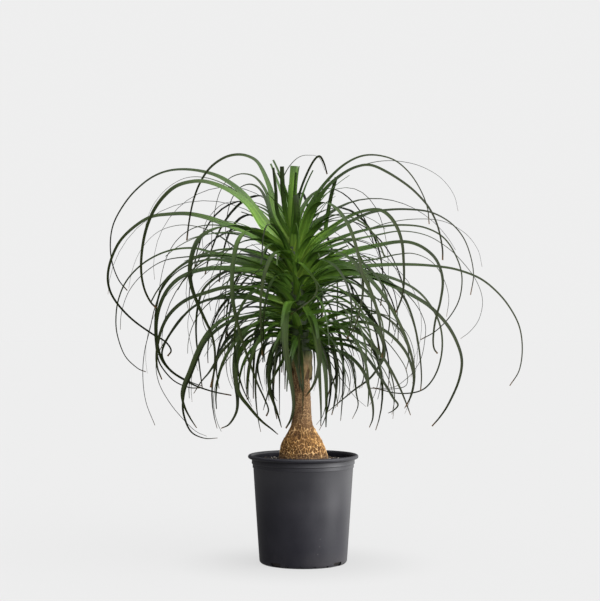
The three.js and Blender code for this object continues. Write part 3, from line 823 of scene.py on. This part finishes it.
# The highest bases are still green where they pass into the crown.
green_from, green_to = 0.452, 0.482
dry_material, tree, shader, coordinates = new_material("dry leaf base")
fibres = add_fibres(tree, 900, 6, 3)
straw = add_ramp(tree, add_attribute(tree, "tone"), [
    (0.0, (0.17, 0.095, 0.038)), (0.35, (0.31, 0.20, 0.080)), (0.65, (0.42, 0.29, 0.12)),
    (1.0, (0.085, 0.11, 0.026)),
])
browned = add_range(tree, add_attribute(tree, "along"), 0.5, 1.0, 0, 0.7)
tips = add_mix(tree, browned, straw, (0.11, 0.075, 0.03))
fibre_tint = add_ramp(tree, fibres, [(0.3, (0.55, 0.5, 0.45)), (0.7, (1.1, 1.1, 1.1))])
streaked = add_mix(tree, 1.0, tips, fibre_tint, "MULTIPLY")
still_green = add_range(tree, add_height(tree, coordinates), green_from, green_to, 0.0, 0.9)
tree.links.new(add_mix(tree, still_green, streaked, (0.050, 0.080, 0.018)), shader.inputs["Base Color"])
shader.inputs["Roughness"].default_value = 0.7
add_bump(tree, fibres, shader, 0.0004, 0.6)
paint(dry_bases, dry_material)
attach(dry_bases, "root")
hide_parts("dry_leaf_bases")

ring_material, tree, shader, coordinates = new_material("clasping ring")
upright_fibres = tree.nodes.new("ShaderNodeMapping")
upright_fibres.inputs["Scale"].default_value = (4, 4, 0.6)
tree.links.new(coordinates, upright_fibres.inputs["Vector"])
_, fibre_grain = add_mottle(tree, upright_fibres.outputs["Vector"], 30, 240)
brown_fibre = add_mix(tree, fibre_grain, (0.085, 0.048, 0.020), (0.22, 0.145, 0.062))
still_green = add_range(tree, add_height(tree, coordinates), green_from, green_to, 0.0, 0.9)
tree.links.new(add_mix(tree, still_green, brown_fibre, (0.035, 0.055, 0.014)), shader.inputs["Base Color"])
shader.inputs["Roughness"].default_value = 0.75
add_bump(tree, fibre_grain, shader, 0.0006, 0.6)
paint(dry_ring, ring_material)
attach(dry_ring, "root")


# ---- The leaf crown ----
# One grown head of long strap leaves. Each starts broad at the stem, arches over under its own weight and
# narrows to a thread that curls back in. Blades are thin, channelled above, finely veined, and fresh green
# near the stem, darkening outwards.
blade_channel = 0.20
blade_thickness = 0.0010

# Leaves measured on the plant, in millimetres: the height of the root, how far back the leaf reaches (to the
# front if negative), its width, its roll to the front in degrees, and the (x, height) points that it passes
# as the camera sees it.
measured_leaves = [
    # The left side, from the top down.
    (738, -30, 16, 55, [(-60, 800), (-78, 865), (-102, 917), (-128, 935), (-158, 938), (-188, 928),
        (-218, 904), (-240, 868), (-254, 828), (-263, 782), (-268, 740)]),
    (726, 60, 10, 45, [(-66, 780), (-82, 845), (-108, 884), (-140, 894), (-172, 882), (-192, 852),
        (-203, 812), (-210, 765), (-211, 715)]),
    (720, 30, 12, 40, [(-66, 775), (-80, 820), (-98, 857), (-122, 870), (-148, 860), (-167, 830),
        (-177, 785), (-178, 750), (-167, 718)]),
    (712, 440, 6, 30, [(-70, 795), (-105, 820), (-145, 830), (-182, 826), (-207, 806), (-225, 780),
        (-232, 745), (-228, 700)]),
    (706, 20, 14, 50, [(-95, 795), (-140, 850), (-190, 886), (-245, 902), (-300, 903), (-345, 888),
        (-385, 857), (-415, 820), (-437, 778), (-444, 735), (-440, 690), (-425, 650), (-405, 625)]),
    (702, 160, 6, 30, [(-95, 790), (-150, 850), (-205, 880), (-258, 887), (-300, 871), (-335, 838),
        (-358, 795), (-368, 745)]),
    (698, -110, 18, 60, [(-85, 765), (-125, 822), (-170, 856), (-215, 874), (-250, 877), (-290, 867),
        (-320, 843), (-345, 808), (-362, 765), (-371, 718), (-373, 670), (-366, 630), (-352, 600),
        (-338, 585)]),
    (694, -40, 16, 60, [(-90, 738), (-130, 762), (-175, 777), (-220, 793), (-265, 802), (-310, 801),
        (-350, 795), (-385, 775), (-418, 744), (-438, 708), (-449, 668), (-447, 632), (-430, 598),
        (-395, 560), (-350, 527), (-318, 508), (-304, 488), (-312, 474)]),
    (690, -170, 18, 55, [(-75, 742), (-115, 762), (-160, 775), (-203, 768), (-236, 749), (-253, 718),
        (-261, 675), (-257, 635), (-243, 595), (-226, 558), (-210, 522), (-203, 482), (-205, 440),
        (-213, 402)]),
    (688, 40, 8, 45, [(-90, 740), (-150, 766), (-205, 776), (-252, 769), (-290, 742), (-315, 700),
        (-328, 650), (-334, 600)]),
    (682, 170, 7, 30, [(-100, 706), (-150, 722), (-195, 752), (-235, 770), (-285, 776), (-335, 760),
        (-372, 722), (-393, 675), (-402, 630)]),
    (664, -60, 10, 50, [(-85, 688), (-145, 703), (-205, 712), (-255, 723), (-312, 716), (-365, 690),
        (-405, 650), (-425, 605), (-431, 560), (-427, 520), (-410, 475), (-382, 447), (-362, 438)]),
    (656, 90, 9, 45, [(-85, 684), (-150, 700), (-215, 704), (-275, 702), (-325, 692), (-370, 662),
        (-402, 622), (-418, 575), (-421, 535)]),
    (650, -20, 13, 50, [(-85, 676), (-140, 690), (-195, 706), (-240, 703), (-272, 688), (-302, 664),
        (-325, 632), (-337, 592), (-341, 545), (-339, 500), (-332, 462), (-314, 434), (-292, 414),
        (-262, 402), (-238, 401)]),
    (646, 60, 10, 45, [(-85, 670), (-150, 688), (-210, 697), (-262, 685), (-300, 660), (-328, 622),
        (-343, 580), (-353, 535), (-365, 485), (-369, 430), (-362, 370), (-341, 315)]),
    (640, -120, 15, 55, [(-80, 660), (-130, 672), (-190, 677), (-240, 672), (-283, 655), (-312, 627),
        (-330, 590), (-338, 548), (-336, 505), (-326, 468), (-304, 440), (-276, 421), (-245, 405),
        (-205, 392), (-165, 384)]),
    (632, -60, 12, 50, [(-75, 660), (-120, 676), (-165, 674), (-200, 656), (-228, 630), (-240, 600),
        (-246, 560), (-246, 515), (-241, 470), (-236, 430), (-232, 400)]),
    (624, 80, 9, 45, [(-75, 650), (-120, 668), (-160, 668), (-195, 650), (-222, 622), (-234, 585),
        (-230, 550), (-219, 525), (-207, 500), (-202, 482)]),
    (616, 150, 7, 40, [(-80, 648), (-130, 660), (-180, 668), (-218, 650), (-246, 615), (-262, 575),
        (-266, 540), (-259, 500), (-251, 468), (-242, 440)]),
    (612, -60, 9, 30, [(-70, 640), (-115, 664), (-155, 666), (-173, 645), (-180, 610), (-182, 565)]),
    (606, 60, 8, 40, [(-70, 625), (-115, 640), (-155, 640), (-185, 622), (-199, 595), (-204, 560),
        (-202, 538)]),
    (590, -140, 15, 55, [(-80, 612), (-125, 629), (-175, 633), (-225, 620), (-272, 602), (-308, 570),
        (-328, 530), (-337, 485), (-336, 450), (-325, 420)]),
    (580, 0, 12, 50, [(-80, 598), (-130, 609), (-180, 609), (-225, 602), (-262, 580), (-292, 545),
        (-314, 512), (-325, 482), (-317, 457), (-296, 435), (-262, 416), (-232, 405)]),
    (566, 100, 8, 40, [(-85, 600), (-150, 618), (-215, 605), (-275, 570), (-315, 515), (-338, 465),
        (-333, 415), (-308, 368), (-277, 330), (-248, 302), (-222, 290)]),
    (560, -200, 14, 50, [(-75, 582), (-110, 576), (-145, 571), (-180, 560), (-210, 538), (-232, 508),
        (-248, 474), (-262, 438), (-274, 410), (-279, 385), (-273, 358), (-260, 332), (-245, 309)]),
    (552, -60, 11, 50, [(-75, 572), (-120, 566), (-165, 555), (-203, 532), (-228, 503), (-243, 470),
        (-258, 432), (-272, 398), (-277, 355), (-268, 318), (-253, 296), (-225, 285), (-197, 286)]),
    (546, -120, 10, 50, [(-72, 550), (-105, 546), (-138, 535), (-165, 508), (-188, 483), (-205, 455),
        (-218, 435), (-235, 415), (-252, 388)]),
    (534, 90, 8, 40, [(-70, 545), (-105, 540), (-140, 520), (-162, 495), (-169, 465), (-166, 430),
        (-158, 402)]),
    (530, -170, 14, 45, [(-66, 548), (-100, 542), (-135, 522), (-153, 490), (-158, 450), (-155, 410),
        (-151, 375), (-154, 345), (-170, 318), (-189, 308)]),
    (524, -60, 9, 45, [(-60, 535), (-95, 532), (-128, 515), (-146, 485), (-151, 450), (-145, 418),
        (-134, 388), (-118, 358)]),
    (516, -190, 13, 40, [(-60, 528), (-100, 522), (-135, 500), (-152, 465), (-155, 425), (-147, 388),
        (-125, 358), (-98, 327), (-72, 306), (-58, 294)]),
    (512, 100, 8, 40, [(-60, 520), (-95, 515), (-120, 492), (-133, 460), (-136, 430), (-131, 395),
        (-120, 368)]),
    (510, -80, 9, 30, [(-50, 512), (-80, 505), (-98, 480), (-105, 450), (-100, 420), (-92, 395)]),
    (508, -120, 13, 20, [(-40, 512), (-62, 500), (-75, 470), (-79, 430), (-76, 392), (-66, 362),
        (-56, 332), (-50, 310)]),
    (506, -160, 9, 20, [(-30, 500), (-40, 480), (-52, 455), (-65, 432), (-76, 408), (-84, 378),
        (-92, 350)]),
    # The right side, from the top down.
    (714, 0, 13, 50, [(-4, 770), (14, 818), (42, 862), (78, 902), (112, 926), (145, 937), (182, 935),
        (216, 922), (248, 892), (272, 853), (286, 815), (290, 778)]),
    (706, 140, 6, 30, [(5, 775), (50, 855), (95, 895), (140, 915), (185, 924), (230, 922), (275, 910),
        (318, 884), (347, 846), (357, 808)]),
    (700, -60, 16, 55, [(4, 765), (26, 818), (52, 860), (88, 892), (122, 910), (156, 914), (195, 897),
        (238, 869), (268, 842), (292, 812), (310, 772), (320, 725), (321, 695)]),
    (686, -120, 16, 60, [(22, 738), (58, 765), (98, 792), (138, 808), (175, 811), (200, 795),
        (218, 766), (228, 732), (231, 695), (232, 655), (229, 618), (220, 590), (212, 572)]),
    (680, 60, 13, 55, [(24, 730), (62, 758), (105, 782), (150, 803), (195, 811), (245, 812), (295, 805),
        (338, 782), (368, 748), (385, 705), (392, 660), (385, 615)]),
    (674, 180, 6, 30, [(60, 735), (130, 760), (200, 782), (262, 790), (322, 785), (372, 758),
        (402, 720), (412, 680)]),
    (672, -40, 11, 50, [(30, 718), (75, 742), (125, 760), (180, 772), (230, 776), (280, 770),
        (322, 748), (350, 708), (365, 660), (360, 608), (338, 566), (305, 532), (270, 512)]),
    (668, 150, 8, 40, [(40, 715), (100, 738), (165, 752), (225, 762), (285, 752), (335, 722),
        (372, 685), (400, 645), (413, 602), (405, 560), (385, 532), (362, 514)]),
    (660, -90, 16, 55, [(45, 690), (105, 714), (165, 728), (215, 737), (250, 735), (282, 720),
        (308, 693), (321, 650), (316, 602), (304, 556), (299, 515), (301, 492), (309, 480)]),
    (655, 100, 9, 40, [(50, 680), (110, 690), (170, 698), (215, 708), (255, 710), (295, 692),
        (322, 655), (335, 610), (330, 565)]),
    (630, -20, 13, 50, [(50, 655), (110, 676), (175, 684), (250, 685), (308, 681), (355, 673),
        (405, 654), (443, 625), (474, 588), (497, 543), (504, 492), (497, 442), (475, 406)]),
    (632, -160, 15, 45, [(30, 680), (80, 690), (130, 672), (168, 635), (198, 593), (222, 548),
        (240, 505), (252, 463), (256, 425), (250, 388), (236, 358)]),
    (626, -60, 13, 50, [(40, 665), (95, 680), (150, 668), (195, 648), (228, 615), (247, 575),
        (260, 528), (268, 480), (272, 430), (270, 395)]),
    (620, -100, 16, 55, [(45, 655), (105, 668), (165, 655), (215, 632), (255, 612), (293, 587),
        (330, 548), (354, 505), (365, 462), (357, 415), (334, 364), (315, 335), (296, 313)]),
    (612, 20, 13, 50, [(50, 650), (110, 664), (170, 662), (220, 648), (262, 625), (292, 592),
        (314, 548), (320, 498), (311, 448), (290, 410), (262, 392), (215, 389), (160, 402)]),
    (604, 120, 9, 40, [(50, 640), (115, 655), (175, 650), (228, 625), (262, 590), (281, 548),
        (280, 510), (272, 470), (255, 440), (235, 420), (205, 402), (150, 401)]),
    (540, -40, 10, 45, [(35, 548), (75, 572), (115, 583), (158, 578), (192, 562), (220, 538),
        (238, 505), (243, 470), (236, 440)]),
    (536, 100, 8, 40, [(45, 545), (95, 560), (140, 570), (180, 571), (212, 556), (238, 528), (252, 495),
        (256, 460), (248, 425)]),
    (532, -60, 11, 45, [(60, 565), (115, 575), (160, 550), (182, 510), (186, 475), (172, 447),
        (150, 420), (118, 397), (85, 370), (52, 343)]),
    (528, -100, 12, 50, [(40, 532), (85, 546), (125, 553), (160, 547), (192, 530), (217, 508),
        (238, 480), (250, 448), (254, 415), (246, 380), (233, 354)]),
    (524, 60, 8, 40, [(40, 535), (90, 543), (130, 542), (163, 532), (192, 508), (218, 476), (236, 445),
        (240, 415), (228, 402), (190, 398), (150, 400)]),
    (522, -140, 12, 45, [(35, 525), (70, 536), (100, 538), (133, 525), (160, 500), (183, 472),
        (203, 440), (222, 402), (236, 368), (247, 338)]),
    (514, -20, 9, 45, [(35, 508), (70, 512), (110, 510), (148, 500), (176, 478), (196, 448), (207, 412),
        (210, 375), (204, 340)]),
    (508, -120, 11, 45, [(32, 500), (62, 504), (100, 500), (133, 484), (155, 460), (175, 430),
        (193, 402), (207, 378), (218, 362), (207, 349), (195, 343)]),
    (506, -170, 12, 40, [(30, 498), (60, 494), (95, 482), (122, 460), (142, 432), (152, 398),
        (160, 362), (160, 332), (152, 310)]),
    (504, -60, 9, 40, [(30, 490), (60, 490), (92, 480), (110, 458), (118, 425), (122, 390), (126, 360),
        (113, 330)]),
    (502, 80, 8, 30, [(40, 488), (70, 480), (80, 455), (74, 428), (60, 395), (52, 362), (44, 335),
        (30, 316)]),
    (500, -110, 12, 15, [(35, 492), (52, 478), (60, 450), (62, 415), (60, 388)]),
    (498, 120, 6, 30, [(45, 482), (62, 462), (78, 435), (98, 408), (120, 380), (145, 358)]),
    # The front of the crown.
    (706, -300, 14, 0, [(-62, 738), (-98, 762), (-128, 763), (-149, 742), (-160, 700), (-164, 650),
        (-162, 605), (-154, 560), (-143, 520), (-130, 478), (-117, 442), (-104, 408), (-90, 378),
        (-80, 352), (-85, 336)]),
    (694, -340, 15, 0, [(-2, 755), (12, 798), (32, 823), (54, 828), (78, 813), (98, 787), (112, 757),
        (123, 722), (131, 688), (137, 650), (137, 618), (131, 585), (124, 556), (112, 530), (100, 514)]),
    (690, -340, 14, 0, [(-35, 714), (-55, 717), (-72, 705), (-84, 680), (-93, 645), (-98, 600),
        (-98, 560), (-96, 515), (-94, 475)]),
    (690, -290, 9, 0, [(-5, 688), (12, 670), (25, 652), (32, 633), (27, 613), (10, 597), (-10, 583),
        (-28, 571)]),
    (688, -230, 7, 20, [(-30, 699), (-50, 699), (-72, 692), (-95, 678), (-116, 661)]),
    (640, -412, 17, 10, [(20, 700), (52, 716), (88, 710), (118, 690), (140, 655), (157, 618),
        (170, 580), (178, 540), (184, 500), (181, 470)]),
    (600, -330, 18, 0, [(-25, 602), (-36, 592), (-41, 565), (-42, 525), (-40, 485), (-34, 445),
        (-26, 405), (-22, 362), (-28, 330), (-40, 308)]),
    (575, -280, 17, 0, [(2, 590), (18, 562), (28, 530), (35, 500), (38, 468), (33, 435), (22, 405),
        (6, 382)]),
    (540, -220, 10, 0, [(15, 540), (30, 500), (36, 460), (38, 420), (40, 380), (41, 340), (40, 313)]),
    (530, -170, 12, 0, [(-22, 510), (-20, 480), (-14, 448), (-6, 410), (2, 382)]),
    # The top of the crown.
    (745, -30, 15, 85, [(-18, 800), (-8, 850), (8, 893), (25, 925), (38, 934), (48, 918), (55, 893)]),
    (744, 20, 5, 20, [(-50, 855), (-40, 898), (-14, 930), (15, 938), (38, 930), (50, 902)]),
]
# Leaves at the top whose ends were trimmed square: the same, with the share of the length that is left in
# place of the roll.
trimmed_leaves = [
    (744, -30, 12, 0.60, [(-58, 800), (-63, 855), (-69, 908)]),
    (750, -20, 16, 0.45, [(-40, 805), (-47, 858), (-49, 911)]),
    (748, -60, 20, 0.15, [(-26, 805), (-24, 860), (-21, 912)]),
    (742, -90, 17, 0.35, [(-17, 775), (-14, 805), (-17, 845)]),
    (736, -10, 17, 0.25, [(8, 770), (24, 808), (37, 850)]),
    (726, 30, 13, 0.45, [(42, 745), (55, 795), (64, 842), (76, 886)]),
]
trimmed_channel = 0.10
trimmed_tone = 0.35


def leaf_chance(index):
    """A repeatable number from 0 to 1 for each measured leaf."""
    wave = math.sin(index * 12.9898 + 1642.893) * 43758.5453
    return wave - math.floor(wave)


def between(low, high, share):
    """The value that lies a share of the way from low to high."""
    return low + (high - low) * share


def smooth_line(points, steps):
    """A line of even steps on a smooth curve through the points."""
    points = [2 * points[0] - points[1]] + points + [2 * points[-1] - points[-2]]
    line = []
    for i in range(steps + 1):
        position = i / steps * (len(points) - 3)
        first = min(int(position), len(points) - 4)
        t = position - first
        p0, p1, p2, p3 = points[first:first + 4]
        v1, v2 = 0.5 * (p2 - p0), 0.5 * (p3 - p1)
        line.append(
            (2 * t**3 - 3 * t**2 + 1) * p1 + (t**3 - 2 * t**2 + t) * v1
            + (3 * t**2 - 2 * t**3) * p2 + (t**3 - t**2) * v2
        )
    return np.array(line)


def measured_line(root, depth, way, steps):
    """A measured leaf's line from the stem, at its depth, so that the camera sees it pass its points."""
    points = [np.array([read_at(stem_lean, root / 1000), 0, root / 1000])]
    points += [np.array([x / 1000, 0, z / 1000]) for x, z in way]
    line = smooth_line(points, steps)
    # It is at its full depth nine tenths of the way along.
    line[:, 1] = depth / 1000 * np.sin(1.75 * np.linspace(0, 1, steps + 1))
    eye = np.array(camera.location)
    nearness = ((line[:, 1] - eye[1]) / -eye[1])[:, None]
    line[:, ::2] = eye[::2] + (line[:, ::2] - eye[::2]) * nearness
    reach_margin = 0.0045
    return np.clip(line, np.array(cad_low) + reach_margin, np.array(cad_high) - reach_margin)


def leaf_widths(width, root, count):
    """Half a blade's width at each point: low leaves stay broad for long, high ones soon are threads."""
    along = np.linspace(0, 1, count)
    slender = min(1.0, max(0.0, (root - 0.56) / 0.10))
    return 0.5 * width * between(0.15 + 0.95 * (1 - along**1.5), 0.24 + 1.16 * (1 - along) ** 1.8, slender)


def bearing_of(line):
    """Where a leaf heads, seen from above: 0 to the right, a quarter turn towards the back."""
    reach = reach_of(line)
    return math.atan2(reach[1], reach[0])


def turned_to_front(bearing):
    """The twist at the stem that shows a blade broad from the front, keel first if it heads there."""
    share_of_turn = 0.8
    sideways, backwards = math.cos(bearing), math.sin(bearing)
    if backwards < -0.55:
        return -share_of_turn * math.asin(sideways)
    if backwards < 0:
        return share_of_turn * math.copysign(math.pi / 2, sideways)
    return share_of_turn * math.asin(sideways)


long_straps = []
for index, (root, depth, width, roll, way) in enumerate(measured_leaves):
    line = measured_line(root, depth, way, 14 + 5 * len(way))
    bearing = bearing_of(line)
    turned = math.cos(bearing) * math.radians(roll)
    widths = leaf_widths(width / 1000, root / 1000, len(line))
    # Leaves at the front are painted lighter, as lit, and leaves further back darker, as painted shade.
    tone = min(1.0, max(0.0, 0.42 - 0.0013 * depth + 0.3 * (leaf_chance(index) - 0.5)))
    blade = strap(line, widths, turned_to_front(bearing), turned, blade_channel, blade_thickness)
    long_straps.append((blade, tone, 1))
for root, depth, width, share, way in trimmed_leaves:
    line = measured_line(root, depth, way, 12)
    opened = turned_to_front(bearing_of(line))
    widths = 0.5 * width / 1000 * (1 - 0.9 * share * np.linspace(0, 1, len(line)))
    blade = strap(line, widths, opened, opened, trimmed_channel, blade_thickness)
    long_straps.append((blade, trimmed_tone, share))
long_leaves = straps_object("long_leaves", long_straps)

# More leaves close the crown at the back and the sides, and short broad ones fill its heart.
golden_share = 0.618034
leaf_kinds = [
    # count, root heights, rises, droops, lengths, widths, the middle of their headings, how far these spread,
    # and how far they have darkened at their ends
    (50, (0.500, 0.738), (28, 70), (125, 178), (0.34, 0.62), (0.012, 0.017), 90, 62, 1.0),
    (13, (0.510, 0.690), (20, 60), (110, 170), (0.26, 0.46), (0.012, 0.017), -140, 26, 0.6),
    (13, (0.510, 0.690), (20, 60), (110, 170), (0.26, 0.46), (0.012, 0.017), -40, 26, 0.6),
    (12, (0.560, 0.740), (34, 72), (150, 190), (0.45, 0.64), (0.003, 0.005), 90, 95, 1.0),
    (44, (0.520, 0.735), (50, 82), (20, 70), (0.12, 0.26), (0.016, 0.021), 90, 180, 0.22),
    (54, (0.500, 0.690), (28, 60), (70, 130), (0.16, 0.34), (0.012, 0.017), 90, 180, 0.36),
    (34, (0.489, 0.530), (8, 40), (95, 150), (0.14, 0.30), (0.007, 0.010), 90, 180, 1.0),
    (40, (0.487, 0.620), (62, 84), (10, 50), (0.06, 0.15), (0.014, 0.019), 90, 180, 0.26),
]
# How far, in degrees, a leaf may stray from its even heading and its rise, swerve on its way, and roll.
heading_stray, rise_stray = 10, 12
most_swerve, most_roll = 34, 35


def arching_line(root, heading, rise, droop, swerve, length, steps):
    """A line that leaves the stem at its rise and bends down evenly to its tip."""
    along = (np.arange(steps) + 0.5) / steps
    pitch = rise - droop * along
    bearing = heading + swerve * along
    level = np.cos(pitch)
    moves = np.stack([level * np.cos(bearing), level * np.sin(bearing), np.sin(pitch)], axis=1)
    start = np.array([[float(read_at(stem_lean, root)), 0, root]])
    return np.concatenate([start, start + np.cumsum(moves, axis=0) * length / steps])


def is_clear(line):
    """Whether a leaf stays above the pot, away from the bare trunk and within the crown's reach."""
    lowest_tip = 0.288
    bare_trunk_top, bare_trunk_room = 0.480, 0.042
    reach_margin = 0.006
    beside = np.hypot(line[:, 0] - read_at(stem_lean, line[:, 2]), line[:, 1]) < bare_trunk_room
    within = np.all((line > np.array(cad_low) + reach_margin) & (line < np.array(cad_high) - reach_margin))
    on_trunk = np.any(beside & (line[:, 2] < bare_trunk_top))
    return bool(within and np.all(line[:, 2] > lowest_tip) and not on_trunk)


def cleared_line(root, heading, rise, droop, swerve, length):
    """The longest share of a leaf that stays clear, or None. A line of a few points is tried first."""
    steps_tried, steps_kept = 12, 18
    for share in (1, 0.92, 0.84, 0.76, 0.68, 0.6, 0.52, 0.44, 0.36, 0.28):
        if is_clear(arching_line(root, heading, rise, droop, swerve, share * length, steps_tried)):
            return arching_line(root, heading, rise, droop, swerve, share * length, steps_kept)
    return None


draw = Draw(7331)
inner_straps = []
for count, roots, rises, droops, lengths, leaf_sizes, middle, spread, share in leaf_kinds:
    for index in range(count):
        climb = (index + draw()) / count
        even_heading = middle + spread * (2 * (index * golden_share % 1) - 1)
        heading = math.radians(even_heading + draw(-heading_stray, heading_stray))
        rise = math.radians(between(*rises, climb) + draw(-rise_stray, rise_stray))
        droop = math.radians(between(*droops, draw()))
        swerve = math.radians(draw(-most_swerve, most_swerve))
        length = between(*lengths, 0.35 * climb + 0.65 * draw())
        width = between(*leaf_sizes, draw())
        roll = math.radians(draw(-most_roll, most_roll))
        tone = draw()
        opened = turned_to_front(heading) + math.radians(draw(-most_roll, most_roll)) * math.sin(heading)
        root = between(*roots, climb)
        line = cleared_line(root, heading, rise, droop, swerve, length)
        if line is not None:
            widths = leaf_widths(width, root, len(line))
            blade = strap(line, widths, opened, roll, blade_channel, blade_thickness)
            inner_straps.append((blade, tone, share))
inner_leaves = straps_object("inner_leaves", inner_straps)

# The stem that the leaves clasp, narrowing to the growing tip.
leafy_outline = [
    (0.0240, 0.4863), (0.0250, 0.520), (0.0250, 0.560), (0.0235, 0.610), (0.0220, 0.650), (0.0180, 0.690),
    (0.0140, 0.720), (0.0095, 0.745), (0.0060, 0.768), (0.0020, 0.776),
]
leafy_stem = turned_shell("leafy_stem", leafy_outline, 48, 60)
for vertex in leafy_stem.data.vertices:
    vertex.co.x += float(read_at(stem_lean, vertex.co.z))

leaf_material, tree, shader, coordinates = new_material("strap leaf")
veins = add_fibres(tree, 260, 1.2, 2)
along = add_attribute(tree, "along")
tone = add_attribute(tree, "tone")
blotches, _ = add_mottle(tree, coordinates, 22, 260)
fresh = add_ramp(tree, along, [
    (0.0, (0.25, 0.36, 0.065)), (0.08, (0.140, 0.265, 0.036)), (0.17, (0.052, 0.112, 0.014)),
    (0.30, (0.023, 0.045, 0.006)), (0.50, (0.0165, 0.0260, 0.005)), (1.0, (0.0135, 0.0160, 0.005)),
])
deep = add_ramp(tree, along, [
    (0.0, (0.160, 0.265, 0.045)), (0.08, (0.085, 0.175, 0.027)), (0.17, (0.026, 0.060, 0.008)),
    (0.30, (0.0125, 0.0240, 0.004)), (0.50, (0.0095, 0.0145, 0.0035)), (1.0, (0.0085, 0.0090, 0.0035)),
])
# The tone mixes deep into fresh green; on the measured leaves it carries painted shade, darker towards the
# back.
leaf_color = add_mix(tree, add_range(tree, tone, 0.15, 0.85, 0, 1), deep, fresh)
vein_tint = add_ramp(tree, veins, [(0.35, (0.55, 0.60, 0.52)), (0.65, (1.38, 1.34, 1.25))])
leaf_color = add_mix(tree, 1.0, leaf_color, vein_tint, "MULTIPLY")
patch_tint = add_mix(tree, blotches, (0.86, 0.90, 0.86), (1.12, 1.08, 1.0))
leaf_color = add_mix(tree, 1.0, leaf_color, patch_tint, "MULTIPLY")
dry_tip = add_range(tree, along, 0.955, 0.995, 0, 0.8)
leaf_color = add_mix(tree, dry_tip, leaf_color, (0.10, 0.055, 0.022))
tree.links.new(leaf_color, shader.inputs["Base Color"])
tree.links.new(add_range(tree, veins, 0.3, 0.7, 0.40, 0.52), shader.inputs["Roughness"])
shader.inputs["Specular IOR Level"].default_value = 0.2
tree.links.new(add_range(tree, along, 0.0, 0.5, 0.36, 0.11), shader.inputs["Specular IOR Level"])
add_bump(tree, veins, shader, 0.0002, 0.35)
for leaves in (long_leaves, inner_leaves):
    paint(leaves, leaf_material)
    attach(leaves, "root")
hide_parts("leaf_crown")

# Painted shade: the stem is a dark green that stands for the shade inside the crown.
stem_material, tree, shader, coordinates = new_material("leafy stem in painted shade")
clasped_patches, clasped_grain = add_mottle(tree, coordinates, 60, 400)
stem_color_painted_as_shade = add_mix(tree, clasped_patches, (0.016, 0.030, 0.007), (0.045, 0.072, 0.018))
tree.links.new(stem_color_painted_as_shade, shader.inputs["Base Color"])
shader.inputs["Roughness"].default_value = 0.6
add_bump(tree, clasped_grain, shader, 0.0008, 0.5)
paint(leafy_stem, stem_material)
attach(leafy_stem, "root")
